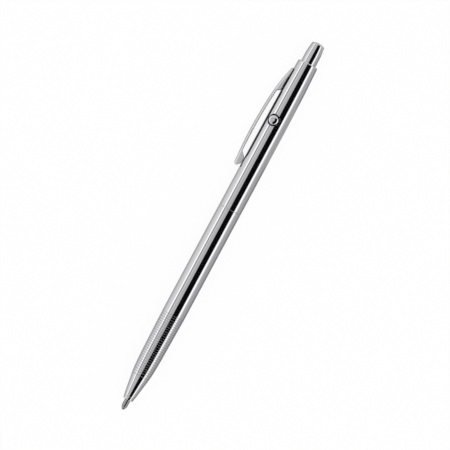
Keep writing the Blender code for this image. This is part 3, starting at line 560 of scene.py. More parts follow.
def grown(mesh, tree, sizes, finish):
    """The plain mesh that a tree makes of a start mesh, with its sizes and its finish set."""
    settings = {**sizes, "Finish": finish}
    carrier = placed(tree.name, mesh)
    modifier = carrier.modifiers.new(tree.name, "NODES")
    modifier.node_group = tree
    for socket in tree.interface.items_tree:
        if socket.in_out == "INPUT" and socket.name in settings:
            modifier[socket.identifier] = settings[socket.name]
    return worked_out(carrier)


coil, size = tree_with("closed_end_coil", COIL_SIZES)
all_turns = sum_of(coil, "MULTIPLY_ADD", size["Closed Turns"], 2.0, size["Open Turns"])
point_count = product(coil, all_turns, size["Points Per Turn"])
wire_line = wired(coil, "GeometryNodeMeshLine", {"Count": point_count})
point = wired(coil, "GeometryNodeInputIndex")
turned_by = sum_of(coil, "DIVIDE", point, size["Points Per Turn"])
in_first = sum_of(coil, "MINIMUM", turned_by, size["Closed Turns"])
past_first = sum_of(coil, "MAXIMUM", sum_of(coil, "SUBTRACT", turned_by, size["Closed Turns"]), 0.0)
in_open = sum_of(coil, "MINIMUM", past_first, size["Open Turns"])
in_last = sum_of(coil, "SUBTRACT", past_first, in_open)
closed_pitch = product(coil, size["Wire Radius"], CLOSED_PITCH)
closed_length = product(coil, closed_pitch, size["Closed Turns"], 2.0)
open_length = sum_of(coil, "SUBTRACT", size["Length"], closed_length)
open_pitch = sum_of(coil, "DIVIDE", open_length, size["Open Turns"])
in_closed = sum_of(coil, "ADD", in_first, in_last)
along_closed = sum_of(coil, "MULTIPLY_ADD", in_closed, closed_pitch, size["Start"])
along_coil = sum_of(coil, "MULTIPLY_ADD", in_open, open_pitch, along_closed)
coil_angle = product(coil, turned_by, math.tau)
across, up = (
    product(coil, size["Coil Radius"], sum_of(coil, wave, coil_angle)) for wave in ("COSINE", "SINE")
)
coil_place = wired(coil, "ShaderNodeCombineXYZ", {0: along_coil, 1: across, 2: up})
wound = wired(coil, "GeometryNodeSetPosition", {"Geometry": wire_line, "Position": coil_place})
as_curve = wired(coil, "GeometryNodeMeshToCurve", {0: wound})
wire_section = wired(
    coil, "GeometryNodeCurvePrimitiveCircle", {"Resolution": WIRE_FACETS, "Radius": size["Wire Radius"]}
)
wire_parts = {"Curve": as_curve, "Profile Curve": wire_section, "Fill Caps": True}
finished(coil, size, wired(coil, "GeometryNodeCurveToMesh", wire_parts))
spring_wire = metal_finish("spring_wire", (0.50, 0.50, 0.52), 0.2, 0.07, (5000.0, 5000.0), 4e-7)
spring_mesh = grown(bpy.data.meshes.new("spring_start"), coil, COIL_SIZES, spring_wire)
flexing("coiled_spring", spring_mesh, spring_wire,
        "return_spring")

# Lower barrel: the nose and grip, turned from brass tube, with a short collar at its mouth and a
# stepped bore for the refill and its spring. Ring grooves are cut in by the same tool. It is then
# chromed, and the plate comes out thinner and duller in the grooves, where its darker colour is
# painted shade.
TIP_REACH = 3.54
MOUTH_RIM_RADIUS = 1.565
BARREL_RADIUS = 3.75
LOWER_TAPER_LENGTH = 30.0
LOWER_OUTLINE = (
    (0.0, 0.0), (0.027, 0.10), (0.11, 0.29), (0.195, 0.465), (0.275, 0.64), (0.32, 0.72), (0.38, 0.78),
    (0.505, 0.86), (0.63, 0.90), (0.82, 0.95), (1.0, 1.0),
)
COLLAR_END = 4.55
COLLAR_LINE_WIDTH = 0.30
COLLAR_LINE_DEPTH = 0.10
FIRST_GROOVE = 12.05
NEXT_GROOVE = 13.07
GROOVE_PITCH = 0.785
GROOVE_COUNT = 28
GROOVE_DEPTH = 0.09
GROOVE_SIZES = {
    "First Groove": FIRST_GROOVE, "First Width": 0.21, "Next Groove": NEXT_GROOVE,
    "Pitch": GROOVE_PITCH, "Count": float(GROOVE_COUNT), "Width": 0.18, "Depth": GROOVE_DEPTH,
}
ROWS_BESIDE_GROOVE = (0.02, 0.04, 0.06, 0.08, 0.1, 0.12, 0.15, 0.18)
GRIP_MARGIN = 0.2
SKIN_STEP = 0.2
COLLAR_STEP = 0.02
COLLAR_REACH = 0.3
GRIP_GAP = 0.3
SKIN_NEAR = 0.01
SEAM = 70.9
SEAM_GAP = 0.04
SEAM_EDGE = 0.09
BARREL_BORE = 3.25
BARREL_FACETS = 128


def smooth_line(pairs, at):
    """The value at a place on a smooth line through (place, value) pairs."""
    at = min(max(at, pairs[0][0]), pairs[-1][0])
    index = next(i for i in range(1, len(pairs)) if at <= pairs[i][0])
    (x0, y0), (x1, y1) = pairs[index - 1], pairs[index]

    def slope(i):
        before, after = max(i - 1, 0), min(i + 1, len(pairs) - 1)
        return (pairs[after][1] - pairs[before][1]) / (pairs[after][0] - pairs[before][0])

    width = x1 - x0
    t = (at - x0) / width
    rise = y1 - y0
    start, end = slope(index - 1) * width, slope(index) * width
    return y0 + start * t + (3 * rise - 2 * start - end) * t**2 + (start + end - 2 * rise) * t**3


def lower_radius(along):
    """The lower barrel's outer radius, with the fine line that ends the collar."""
    share = smooth_line(LOWER_OUTLINE, (along - TIP_REACH) / LOWER_TAPER_LENGTH)
    off_line = min(abs(along - COLLAR_END) / (COLLAR_LINE_WIDTH / 2), 1.0)
    line = COLLAR_LINE_DEPTH * (1.0 + math.cos(math.pi * off_line)) / 2
    return MOUTH_RIM_RADIUS + (BARREL_RADIUS - MOUTH_RIM_RADIUS) * share - line


def place_in(tree):
    """The X, Y and Z of each point that a tree works on."""
    return split(tree, wired(tree, "GeometryNodeInputPosition"))


def cut_in(tree, sizes, depth):
    """Ends a tree that moves the marked skin of its start mesh toward the pen's axis by a depth."""
    place = place_in(tree)
    flat = wired(tree, "ShaderNodeCombineXYZ", {1: place["Y"], 2: place["Z"]})
    outward = wired(tree, "ShaderNodeVectorMath", {0: flat}, operation="NORMALIZE")
    skin = wired(tree, "GeometryNodeInputNamedAttribute", {"Name": "skin"}, data_type="FLOAT")
    sink = product(tree, depth, skin, -1.0)
    offset = wired(tree, "ShaderNodeVectorMath", {0: outward, "Scale": sink}, operation="SCALE")
    moved = wired(tree, "GeometryNodeSetPosition", {"Geometry": sizes["Geometry"], "Offset": offset})
    finished(tree, sizes, moved)


grooves, size = tree_with("ring_grooves", GROOVE_SIZES)
along_pen = place_in(grooves)["X"]
from_next = sum_of(grooves, "SUBTRACT", along_pen, size["Next Groove"])
nearest = sum_of(grooves, "ROUND", sum_of(grooves, "DIVIDE", from_next, size["Pitch"]))
last_number = sum_of(grooves, "SUBTRACT", size["Count"], 2.0)
held = sum_of(grooves, "MINIMUM", sum_of(grooves, "MAXIMUM", nearest, 0.0), last_number)
from_held = sum_of(grooves, "SUBTRACT", from_next, product(grooves, held, size["Pitch"]))
from_first = sum_of(grooves, "SUBTRACT", along_pen, size["First Groove"])
cuts = []
for from_groove, width in ((from_held, size["Width"]), (from_first, size["First Width"])):
    off_groove = sum_of(grooves, "ABSOLUTE", from_groove)
    half_width = product(grooves, width, 0.5)
    cuts.append(swept(grooves, off_groove, 0.0, half_width, size["Depth"], 0.0, "SMOOTHSTEP"))
cut_in(grooves, size, sum_of(grooves, "MAXIMUM", *cuts))

# Dull metal, near black as painted shade, for faces in bores, openings and the clip's channel, and for the
# release button's hidden faces.
painted_shade_inside = metal_finish("painted_shade_inside", (0.15, 0.14, 0.125), 0.4, 0.08, (900.0, 6000.0), 5e-7)


def faces_axis(face):
    """Tells whether a face of a turned tube looks in toward the pen's axis."""
    return face.normal.y * face.center.y + face.normal.z * face.center.z < -0.3 * math.hypot(*face.center.yz)


plate_marks = (900.0, 14000.0)
chrome = metal_finish("chrome_plate", (0.78, 0.78, 0.80), 0.06, 0.02, plate_marks, 0.0, 0.02)
# In the grooves the chrome is duller, and darker as painted shade.
groove_chrome_painted_shade = metal_finish("groove_chrome_painted_shade", (0.63, 0.63, 0.64), 0.14, 0.04, plate_marks, 0.0, 0.02)
lower_skin = [(TIP_REACH, MOUTH_RIM_RADIUS, 0.12)]
along = TIP_REACH + SKIN_STEP
while along < FIRST_GROOVE - GRIP_GAP:
    lower_skin.append((along, lower_radius(along)))
    along += COLLAR_STEP if abs(along - COLLAR_END) < COLLAR_REACH else SKIN_STEP
groove_places = [FIRST_GROOVE] + [NEXT_GROOVE + GROOVE_PITCH * step for step in range(GROOVE_COUNT - 1)]
groove_rows = [-row for row in reversed(ROWS_BESIDE_GROOVE)] + [0.0, *ROWS_BESIDE_GROOVE]
for groove in groove_places:
    lower_skin += [(groove + row, lower_radius(groove + row)) for row in groove_rows]
lower_skin.append((groove_places[-1] + GROOVE_PITCH, BARREL_RADIUS))
lower_skin.append((SEAM - SEAM_GAP / 2, BARREL_RADIUS, SEAM_EDGE))
lower_bore = [(SEAM - SEAM_GAP / 2, BARREL_BORE, 0.08), (63.4, BARREL_BORE), (63.4, 3.0), (24.0, 3.0),
              (17.5, 2.42), (12.0, 2.42), (12.0, 1.5), (6.4, 1.5), (6.4, 1.1), (TIP_REACH, 1.1, 0.15)]
groove_skin = eased(lower_skin + lower_bore, 0.08)


def on_grip(along):
    """Tells whether a place along the pen is on the grooved grip."""
    return FIRST_GROOVE - GRIP_MARGIN < along < groove_places[-1] + GRIP_MARGIN


def in_groove(face):
    """Tells whether a face of the grip is in one of its grooves."""
    sunk = lower_radius(face.center.x) - math.hypot(*face.center.yz)
    return on_grip(face.center.x) and GROOVE_DEPTH * 0.1 < sunk < GROOVE_DEPTH * 1.2


skin_points = [
    number for number, (along, radius) in enumerate(groove_skin)
    if on_grip(along) and radius > lower_radius(along) - SKIN_NEAR
]
grooved = grown(turned(groove_skin, BARREL_FACETS, skin_points), grooves, GROOVE_SIZES, chrome)
# The bore is near black, painted shade.
pen_piece("grooved_grip", grooved, chrome, "front", "chrome_plate", "lower_barrel",
          others=((painted_shade_inside, faces_axis), (groove_chrome_painted_shade, in_groove)))

# Coupling sleeve: a turned brass tube that joins the two barrels at the seam. It is pressed into the
# upper one, and its other half has a cut thread for the lower one.
SLEEVE_START, SLEEVE_END = 63.7, 78.0
SLEEVE_RADIUS, SLEEVE_BORE = 3.2, 2.7
SLEEVE_EDGE = 0.15
THREAD_END = 70.2
THREAD_PITCH = 0.5
THREAD_SIZES = {
    "Start": SLEEVE_START + SLEEVE_EDGE, "End": THREAD_END, "Pitch": THREAD_PITCH, "Depth": 0.15
}
ROWS_PER_THREAD = 8
PLAIN_START = 71.0

thread, size = tree_with("screw_thread", THREAD_SIZES)
on_screw = place_in(thread)
about = sum_of(thread, "DIVIDE", sum_of(thread, "ARCTAN2", on_screw["Z"], on_screw["Y"]), math.tau)
wound_by = sum_of(thread, "SUBTRACT", sum_of(thread, "DIVIDE", on_screw["X"], size["Pitch"]), about)
flank = product(thread, sum_of(thread, "PINGPONG", wound_by, 0.5), 2.0)
run_in = swept(thread, sum_of(thread, "SUBTRACT", on_screw["X"], size["Start"]), 0.0, size["Pitch"])
run_out = swept(thread, sum_of(thread, "SUBTRACT", size["End"], on_screw["X"]), 0.0, size["Pitch"])
cut_in(thread, size, product(thread, flank, size["Depth"], product(thread, run_in, run_out)))

thread_step = THREAD_PITCH / ROWS_PER_THREAD
row_count = round((THREAD_END - SLEEVE_START) / thread_step)
sleeve_skin = [(SLEEVE_START, SLEEVE_RADIUS - SLEEVE_EDGE), (SLEEVE_START + SLEEVE_EDGE, SLEEVE_RADIUS)]
sleeve_skin += [
    (SLEEVE_START + thread_step * (row + ROWS_PER_THREAD // 2), SLEEVE_RADIUS) for row in range(row_count)
]
thread_points = range(2, len(sleeve_skin))
sleeve_skin += [(PLAIN_START, SLEEVE_RADIUS), (SLEEVE_END - SLEEVE_EDGE, SLEEVE_RADIUS),
                (SLEEVE_END, SLEEVE_RADIUS - SLEEVE_EDGE), (SLEEVE_END, SLEEVE_BORE),
                (SLEEVE_START, SLEEVE_BORE)]
threaded = grown(turned(sleeve_skin, ROUND_FACETS, thread_points), thread, THREAD_SIZES, turned_brass)
pen_piece("threaded_sleeve", threaded, turned_brass, "barrel", "turned_brass", "coupling_sleeve")

# Thrust cup, thrust tube and stop ring: turned stainless steel. The cup is pressed into the tube's
# foot and pushes the refill, the leaf's bent end catches in the tube's groove, and the ring stops
# the push button at the end of its travel.
THRUST_PARTS = (
    # piece, node, how far its edges are rounded, whether it has a bore, outline
    ("turned_cup", "thrust_cup", 0.08, False, (
        (88.7, 0.0), (88.7, 1.5), (88.2, 1.5), (88.2, 2.225), (89.7, 2.225), (89.7, 0.95), (92.2, 0.95, 0.2),
        (92.2, 0.0))),
    ("turned_thrust_tube", "thrust_tube", 0.06, True, (
        (89.75, 1.0), (89.75, 1.7), (104.95, 1.7), (104.95, 1.35), (105.95, 1.35), (105.95, 1.7),
        (126.95, 1.7), (126.95, 1.0))),
    ("turned_stop_ring", "stop_ring", 0.08, True, (
        (113.2, 1.75), (113.2, 2.705), (113.9, 2.705), (113.9, 1.75))),
)
for name, node, edge, bored, outline in THRUST_PARTS:
    mesh = turned(eased(outline, edge, closed=bored), FEW_FACETS)
    pen_piece(name, mesh, turned_steel, "plunger", "turned_steel", node)

# Guide bush: a short brass ring, turned and bored, that sits in the step inside the upper barrel's
# end. The push button slides in it.
bush_outline = eased([(119.0, 2.525), (119.0, 2.805), (121.95, 2.805), (121.95, 2.525)], 0.1)
pen_piece("turned_bush", turned(bush_outline), turned_brass, "barrel", "turned_brass", "guide_bush")

# Latch: a brass ring in the barrel carries a leaf of tempered spring steel, riveted on, whose bent
# end is a plate with a hole that hooks the thrust tube. Ring and rivet stay as they are in the CAD.
# The leaf keeps its CAD shape too, cut into short lengths along the stretch that bends under the button.
LEAF_BEND = (96.0, 101.0)
LEAF_CUT = 0.5
MERGED = 1e-4
# The leaf is near black, painted shade inside the barrel round the release button.
leaf_painted_dark = metal_finish("painted_shade_leaf", (0.10, 0.10, 0.12), 0.24, 0.08, (700.0, 11000.0), 4e-7)
for node, finish in (("latch_carrier", turned_brass), ("latch_rivet", turned_steel)):
    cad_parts[node].material_slots[0].material = finish
leaf_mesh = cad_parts["latch_spring"].data.copy()
leaf_mesh.transform(pen_place.inverted())
bm = bmesh.new()
bm.from_mesh(leaf_mesh)
bmesh.ops.remove_doubles(bm, verts=bm.verts, dist=MERGED)
for step in range(int((LEAF_BEND[1] - LEAF_BEND[0]) / LEAF_CUT) + 1):
    bmesh.ops.bisect_plane(
        bm,
        geom=bm.verts[:] + bm.edges[:] + bm.faces[:],
        dist=MERGED,
        plane_co=(LEAF_BEND[0] + LEAF_CUT * step, 0.0, 0.0),
        plane_no=(1.0, 0.0, 0.0),
    )
flexing("bending_leaf", shaded(bm), leaf_painted_dark,
        "latch_spring")

# Push button: a turned brass cap, chromed, on the thrust tube's end. Its side draws in to a rounded
# shoulder and a shallow crown.
BUTTON_RADIUS = 2.475
BUTTON_START, BUTTON_TAPER, BUTTON_SHOULDER, BUTTON_END = 113.95, 125.5, 129.3, 130.0
SHOULDER_RADIUS = 2.1
SHOULDER_EDGE = 0.275
BUTTON_TAPER_LINE = ((0.0, 0.0), (0.25, 0.10), (0.53, 0.35), (0.8, 0.72), (1.0, 1.0))
BUTTON_TAPER_STEPS = 24
CROWN_STEPS = 12
button_outline = [(127.0, 0.0), (127.0, 1.75), (BUTTON_START, 1.75), (BUTTON_START, BUTTON_RADIUS)]
for step in range(BUTTON_TAPER_STEPS + 1):
    share = step / BUTTON_TAPER_STEPS
    drop = (BUTTON_RADIUS - SHOULDER_RADIUS) * smooth_line(BUTTON_TAPER_LINE, share)
    button_outline.append((BUTTON_TAPER + (BUTTON_SHOULDER - BUTTON_TAPER) * share, BUTTON_RADIUS - drop))
button_outline = eased(button_outline + [(BUTTON_SHOULDER + 0.001, 0.0)], 0.06, closed=False)[:-1]
button_outline += list(arc((BUTTON_SHOULDER, SHOULDER_RADIUS - SHOULDER_EDGE), SHOULDER_EDGE, 88.0, 17.0))
crown_along, crown_radius = button_outline[-1]
crown_rise = BUTTON_END - crown_along
for step in range(1, CROWN_STEPS):
    share = 1.0 - step / CROWN_STEPS
    button_outline.append((crown_along + crown_rise * (1.0 - share**2), crown_radius * share))
button_outline.append((BUTTON_END, 0.0))
pen_piece("push_cap", turned(button_outline), chrome, "plunger", "chrome_plate", "push_button")

# Upper barrel: drawn brass tube, spun in toward its end, drilled for the release button and slotted
# for the clip's tongue, then chromed. The plate doesn't reach far into its bore and openings, which
# are dull there, and near black as painted shade.
UPPER_TAPER_START, BARREL_END = 94.5, 122.7
END_RADIUS = 3.305
END_EDGE = 0.35
TAPER_STEP = 0.47
TAPER_STEPS = 59
UPPER_OUTLINE = ((0.0, 0.0), (0.25, 0.04), (0.55, 0.2), (0.75, 0.47), (0.91, 0.82), (1.0, 1.0))
RELEASE_ALONG = 102.0
RELEASE_TURN = math.radians(70.0)
HOLE_RADIUS = 2.0
HOLE_LOW, HOLE_HIGH = 1.5, 5.0
HOLE_EDGE = 0.06
SLOPE_REACH = 0.05
SLOT_LOW, SLOT_HIGH = Vector((111.65, -0.95, 0.0)), Vector((112.55, 0.95, 4.8))


def upper_radius(along):
    """The upper barrel's outer radius."""
    share = smooth_line(UPPER_OUTLINE, (along - UPPER_TAPER_START) / (BARREL_END - UPPER_TAPER_START))
    return BARREL_RADIUS - (BARREL_RADIUS - END_RADIUS) * share


def skinned(sections):
    """A closed mesh over sections of as many points each."""
    bm = bmesh.new()
    rings = [[bm.verts.new(point) for point in section] for section in sections]
    for near, far in zip(rings, rings[1:]):
        for index, corner in enumerate(near):
            bm.faces.new((near[index - 1], corner, far[index], far[index - 1]))
    bm.faces.new(rings[0])
    bm.faces.new(rings[-1])
    return shaded(bm)


def block(low, high, edge):
    """A block between two corners, with its edges rounded off."""
    bm = bmesh.new()
    bmesh.ops.create_cube(bm, size=1.0, matrix=Matrix.LocRotScale((low + high) / 2, None, high - low))
    if edge > 0.0:
        bmesh.ops.bevel(bm, geom=bm.edges[:], offset=edge, segments=3, affect="EDGES", profile=0.5)
    return shaded(bm)


def joined_or_cut(mesh, tools):
    """A mesh with other closed meshes joined to it or cut away from it."""
    body = placed("body", mesh)
    helpers = []
    for tool, operation in tools:
        helper = placed("tool", tool)
        helpers.append(helper)
        modifier = body.modifiers.new("tool", "BOOLEAN")
        modifier.operation = operation
        modifier.solver = "EXACT"
        modifier.object = helper
    made = worked_out(body)
    for helper in helpers:
        bpy.data.objects.remove(helper)
    made.set_sharp_from_angle(angle=SHARP_ANGLE)
    return made


def hole_ring(radius, rise=None, height=None):
    """Points round the release hole's axis, at a rise over the barrel's skin or all at one height."""
    points = []
    for step in range(ROUND_FACETS):
        angle = math.tau * step / ROUND_FACETS
        side, forth = radius * math.sin(angle), radius * math.cos(angle)
        surface = math.sqrt(upper_radius(RELEASE_ALONG + forth) ** 2 - side**2)
        points.append((RELEASE_ALONG + forth, side, surface + rise if height is None else height))
    return points


hole_sections = [hole_ring(HOLE_RADIUS, height=HOLE_LOW)]
for step in range(EDGE_STEPS + 1):
    swing = math.radians(90.0 * step / EDGE_STEPS)
    flare = HOLE_EDGE * (1.0 - math.cos(swing))
    hole_sections.append(hole_ring(HOLE_RADIUS + flare, HOLE_EDGE * (math.sin(swing) - 1.0) + 0.002))
hole_sections.append(hole_ring(HOLE_RADIUS + HOLE_EDGE, height=HOLE_HIGH))
hole_tool = skinned(hole_sections)
hole_tool.transform(Matrix.Rotation(RELEASE_TURN, 4, "X"))
upper_skin = [(SEAM + SEAM_GAP / 2, BARREL_RADIUS, SEAM_EDGE)]
taper_places = [UPPER_TAPER_START + TAPER_STEP * step for step in range(TAPER_STEPS)]
upper_skin += [(along, upper_radius(along)) for along in taper_places]
upper_skin += [(BARREL_END, upper_radius(BARREL_END), END_EDGE), (BARREL_END, 2.525, 0.06), (122.0, 2.525),
               (122.0, 2.855), (118.6, 2.855), (106.5, BARREL_BORE), (SEAM + SEAM_GAP / 2, BARREL_BORE)]
upper_mesh = joined_or_cut(
    turned(eased(upper_skin, 0.05), BARREL_FACETS),
    [(hole_tool, "DIFFERENCE"), (block(SLOT_LOW, SLOT_HIGH, 0.0), "DIFFERENCE")],
)

# The skin is shaded by the true slope of its line, so that long reflections stay even.
normals = [Vector(corner.vector) for corner in upper_mesh.corner_normals]
for face in upper_mesh.polygons:
    for loop in face.loop_indices:
        place = upper_mesh.vertices[upper_mesh.loops[loop].vertex_index].co
        radius = math.hypot(place.y, place.z)
        on_skin = abs(radius - upper_radius(place.x)) < SKIN_NEAR
        if on_skin and SEAM + 0.3 < place.x < BARREL_END - END_EDGE - 0.1:
            change = upper_radius(place.x + SLOPE_REACH) - upper_radius(place.x - SLOPE_REACH)
            slope = change / (2 * SLOPE_REACH)
            true = Vector((-slope * radius, place.y, place.z)).normalized()
            if face.normal.dot(true) > 0.97:
                normals[loop] = true
upper_mesh.normals_split_custom_set(normals)


def painted_shade_in_barrel(face):
    """Tells whether a face of the upper barrel is in its bore or in the wall of an opening."""
    deep = math.hypot(*face.center.yz) < upper_radius(face.center.x) - HOLE_EDGE
    return faces_axis(face) or (deep and SEAM + 0.5 < face.center.x < BARREL_END - 0.6)


# The bore and the walls of the openings are near black, painted shade.
pen_piece("spun_tube", upper_mesh, chrome, "barrel", "chrome_plate", "upper_barrel",
          others=((painted_shade_inside, painted_shade_in_barrel),))

# Release button: a small turned and chromed button, riveted to the latch leaf. Its head is a low cone
# with a flat face and a rounded edge. It stands up through its hole, and leans a little on its leaf.
HEAD_RADIUS = 1.6
HEAD_REACH = 0.5
HEAD_STEPS = 48
HEAD_LEAN = math.radians(13.0)
LEAN_FROM, LEAN_OVER = 2.9, 0.4
HEAD_SLOPES = (
    # distance from the head's middle, slope of its face in degrees
    (0.0, 0.0), (0.5, 4.0), (0.62, 8.0), (0.75, 15.0), (0.87, 22.0), (1.0, 28.0), (1.15, 33.0), (1.3, 38.0),
    (1.42, 46.0), (1.52, 60.0), (1.58, 76.0), (1.6, 88.0),
)
head_top = upper_radius(RELEASE_ALONG) + HEAD_REACH
head_face = [(head_top, 0.0)]
for step in range(1, HEAD_STEPS + 1):
    out = HEAD_RADIUS * step / HEAD_STEPS
    slope = math.radians(smooth_line(HEAD_SLOPES, out - HEAD_RADIUS / (2 * HEAD_STEPS)))
    head_face.append((head_face[-1][0] - math.tan(slope) * HEAD_RADIUS / HEAD_STEPS, out))
release_outline = eased(
    [(2.425, 0.0), (2.425, 0.75), (2.525, 0.75), (2.525, 0.5), (2.8, 0.5), (2.8, HEAD_RADIUS)],
    0.05,
    closed=False,
)
release_outline += reversed(head_face)
release_mesh = turned(release_outline)
release_mesh.transform(Matrix.Rotation(math.radians(-90.0), 4, "Y"))
for point in release_mesh.vertices:
    lift = min(max((point.co.z - LEAN_FROM) / LEAN_OVER, 0.0), 1.0)
    point.co.z += point.co.y * math.tan(HEAD_LEAN) * lift
release_mesh.transform(Matrix.Rotation(RELEASE_TURN, 4, "X") @ Matrix.Translation((RELEASE_ALONG, 0.0, 0.0)))
release_mesh.set_sharp_from_angle(angle=SHARP_ANGLE)


def under_face(face):
    """Tells whether a face of the release button is its stem's, its side's or its underside's."""
    outward = Vector((0.0, -math.sin(RELEASE_TURN), math.cos(RELEASE_TURN)))
    return face.normal.dot(outward) < 0.25


# The stem, side and underside are near black, painted shade.
pen_piece("domed_button", release_mesh, chrome, "release", "chrome_plate", "release_button",
          others=((painted_shade_inside, under_face),))

# Pocket clip: one strip of spring steel, pressed into a channel with turned-down sides, with a closed
# foot that touches the barrel, then chromed. A tongue under its top end goes through the barrel's
# slot and hooks inside. It bends along its length when it is lifted.
CLIP_END = 119.4
CLIP_LENGTH = 35.1
CLIP_REACH = 2.66
CLIP_HALF_WIDTH = 1.7
CLIP_EDGE = 1.1
CLIP_SHEET = 0.42
CLIP_SPLAY = math.radians(9.0)
LIP_TURN_IN = math.radians(14.0)
LIP_HEIGHT = 0.3
FLANGE_EDGE = 0.07
TONGUE_START, TONGUE_END = 111.8, 112.4
TONGUE_HALF = 0.8
TONGUE_EDGE = 0.06
TONGUE_SHARE = 0.783
TONGUE_ROOT = 0.3
CHANNEL_FLOOR = 0.04
ROUND_END = 0.22
END_DRAW = 0.45
BORE_AT_HOOK = 3.0558
HOOK_GAP = 0.63
HOOK_THICKNESS = 0.4
HOOK_REACH = 1.2
CLIP_STATIONS = (
    # sections along the clip: from where, how far apart and how many
    (0.016, 0.0022, 80), (0.192, 0.0105, 50), (0.717, 0.0023, 40), (0.809, 0.005, 18),
    (0.899, 0.0015, 24), (0.935, 0.005, 10),
)
CLIP_LINES = {
    # place along the clip from its foot's end, and the line there, each as a share of the whole
    "top": (
        (0.0, 0.60), (0.007, 0.71), (0.02, 0.80), (0.04, 0.84), (0.088, 0.875), (0.15, 0.925), (0.25, 0.975),
        (0.34, 1.0), (0.44, 0.985), (0.56, 0.93), (0.65, 0.865), (0.71, 0.80), (0.78, 0.71), (0.83, 0.63),
        (0.88, 0.515), (0.93, 0.38), (0.96, 0.295), (0.985, 0.225), (1.0, 0.17),
    ),
    "under": (
        (0.0, 0.45), (0.007, 0.36), (0.014, 0.28), (0.021, 0.19), (0.028, 0.11), (0.036, 0.045), (0.05, 0.02),
        (0.062, 0.015), (0.088, 0.03), (0.095, 0.08), (0.105, 0.18), (0.114, 0.29), (0.123, 0.40),
        (0.131, 0.50), (0.138, 0.555), (0.146, 0.585), (0.16, 0.60), (0.18, 0.605), (0.25, 0.61),
        (0.34, 0.625), (0.44, 0.62), (0.56, 0.57), (0.65, 0.51), (0.71, 0.45), (0.745, 0.42), (0.757, 0.385),
        (0.766, 0.28), (0.772, 0.13), (0.777, 0.03), (0.784, 0.0), (0.83, 0.0), (0.905, 0.0), (0.912, -0.03),
        (0.92, -0.045), (0.985, -0.05), (1.0, -0.02),
    ),
    "half width": (
        (0.0, 0.42), (0.007, 0.60), (0.02, 0.70), (0.04, 0.75), (0.088, 0.77), (0.18, 0.81), (0.25, 0.83),
        (0.44, 0.89), (0.65, 0.95), (0.78, 0.99), (0.88, 1.0), (0.95, 0.98), (0.985, 0.94), (1.0, 0.86),
    ),
    "open": ((0.0, 0.0), (0.10, 0.0), (0.13, 0.5), (0.16, 1.0), (0.982, 1.0), (0.992, 0.0), (1.0, 0.0)),
}


def clip_sizes(share):
    """The clip's place, top, underside and half width, and its channel's half width, ceiling and how
    far it is open."""
    along = CLIP_END - CLIP_LENGTH * (1.0 - share)
    surface = upper_radius(along)
    top = surface + CLIP_REACH * smooth_line(CLIP_LINES["top"], share)
    under = surface + CLIP_REACH * smooth_line(CLIP_LINES["under"], share)
    open_share = min(max(smooth_line(CLIP_LINES["open"], share), 0.0), 1.0)
    half = CLIP_HALF_WIDTH * smooth_line(CLIP_LINES["half width"], share)
    ceiling = under + CHANNEL_FLOOR + (top - under - CLIP_SHEET - CHANNEL_FLOOR) * open_share
    return along, top, under, half, half - min(CLIP_SHEET, half / 2), ceiling, open_share


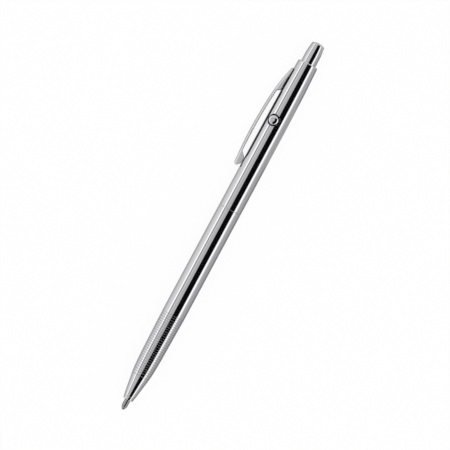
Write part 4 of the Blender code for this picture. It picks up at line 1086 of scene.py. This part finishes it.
def clip_section(share):
    """One section of the clip: the outside from one flange's edge over the top to the other, then
    the channel inside."""
    along, top, under, half, wall, ceiling, open_share = clip_sizes(share)
    height = top - under
    lip = min(LIP_HEIGHT, height * 0.15)
    edge = min(CLIP_EDGE, height - lip - 0.05)
    edge_width = min(CLIP_EDGE, half * 0.85)
    lean = math.tan(CLIP_SPLAY)
    turn_in = math.tan(LIP_TURN_IN) * (0.4 + 0.6 * open_share)
    right = list(arc((half - FLANGE_EDGE, under + FLANGE_EDGE), FLANGE_EDGE, -90.0, -20.0, 3))
    lip_start = FLANGE_EDGE * 0.7
    for step in range(1, 6):
        rise = lip_start + (lip - lip_start) * step / 5
        bulge = turn_in * rise - (turn_in + lean) * rise**2 / (2 * lip)
        right.append((half + bulge, under + rise))
    start = math.atan(lean * edge / edge_width)
    corner_low = top - edge + edge * math.sin(start)
    side = right[-1][0] - lean * (corner_low - under - lip)
    corner_side = side - edge_width * math.cos(start)
    for step in range(11):
        swing = start + (math.radians(90.0) - start) * step / 10
        right.append((corner_side + edge_width * math.cos(swing), top - edge + edge * math.sin(swing)))
    right += [(corner_side * 0.5, top), (0.0, top)]
    left = [(-y, z) for y, z in reversed(right[:-1])]
    fillet = min(CLIP_EDGE - CLIP_SHEET, (ceiling - under) * 0.85, wall * 0.85)
    inside = [(wall + 0.05, under), (wall, under + min(0.05, (ceiling - under) * 0.1))]
    inside += arc((wall - fillet, ceiling - fillet), fillet, 0.0, 90.0, EDGE_STEPS)
    inside.append((wall * 0.1, ceiling))
    channel = [(-y, z) for y, z in inside] + inside[::-1]
    return along, right + left + channel


def clip_station(share):
    """A section of the clip, drawn in near its ends to round them off."""
    along, outline = clip_section(share)
    end_reach = min(along - (CLIP_END - CLIP_LENGTH), CLIP_END - along)
    rounding = math.sqrt(max(1.0 - (1.0 - min(end_reach / ROUND_END, 1.0)) ** 2, 0.0))
    draw_in = 1.0 - END_DRAW + END_DRAW * rounding
    middle = (max(z for _, z in outline) + min(z for _, z in outline)) / 2
    return [(along, y * draw_in, middle + (z - middle) * draw_in) for y, z in outline]


shares = [0.0004 * step**1.5 for step in range(12)]
for start, gap, count in CLIP_STATIONS:
    shares += [start + gap * step for step in range(count)]
shares += [0.985, 0.990, 0.994, 0.9965, 0.998, 0.9992, 1.0]
clip_shell = skinned([clip_station(share) for share in shares])
clip_top = upper_radius(TONGUE_START) + CLIP_REACH * smooth_line(CLIP_LINES["top"], TONGUE_SHARE)
hook_high = BORE_AT_HOOK - HOOK_GAP
hook_low = hook_high - HOOK_THICKNESS
tongue = block(Vector((TONGUE_START, -TONGUE_HALF, hook_low)),
               Vector((TONGUE_END, TONGUE_HALF, clip_top - TONGUE_ROOT)), TONGUE_EDGE)
hook = block(Vector((TONGUE_START - HOOK_REACH, -TONGUE_HALF, hook_low)),
             Vector((TONGUE_END, TONGUE_HALF, hook_high)), TONGUE_EDGE)
clip_mesh = joined_or_cut(clip_shell, [(tongue, "UNION"), (hook, "UNION")])


def toward_barrel(face):
    """Tells whether a face of the clip is in its channel, is the tongue's, or looks at the barrel."""
    share = 1.0 - (CLIP_END - face.center.x) / CLIP_LENGTH
    wall, ceiling = clip_sizes(min(max(share, 0.0), 1.0))[4:6]
    return face.normal.z < -0.6 or (abs(face.center.y) < wall + 0.02 and face.center.z < ceiling + 0.02)


# The channel, the tongue and the faces that look at the barrel are near black, painted shade.
flexing("pressed_clip", clip_mesh, chrome, "pocket_clip",
        others=((painted_shade_inside, toward_barrel),))
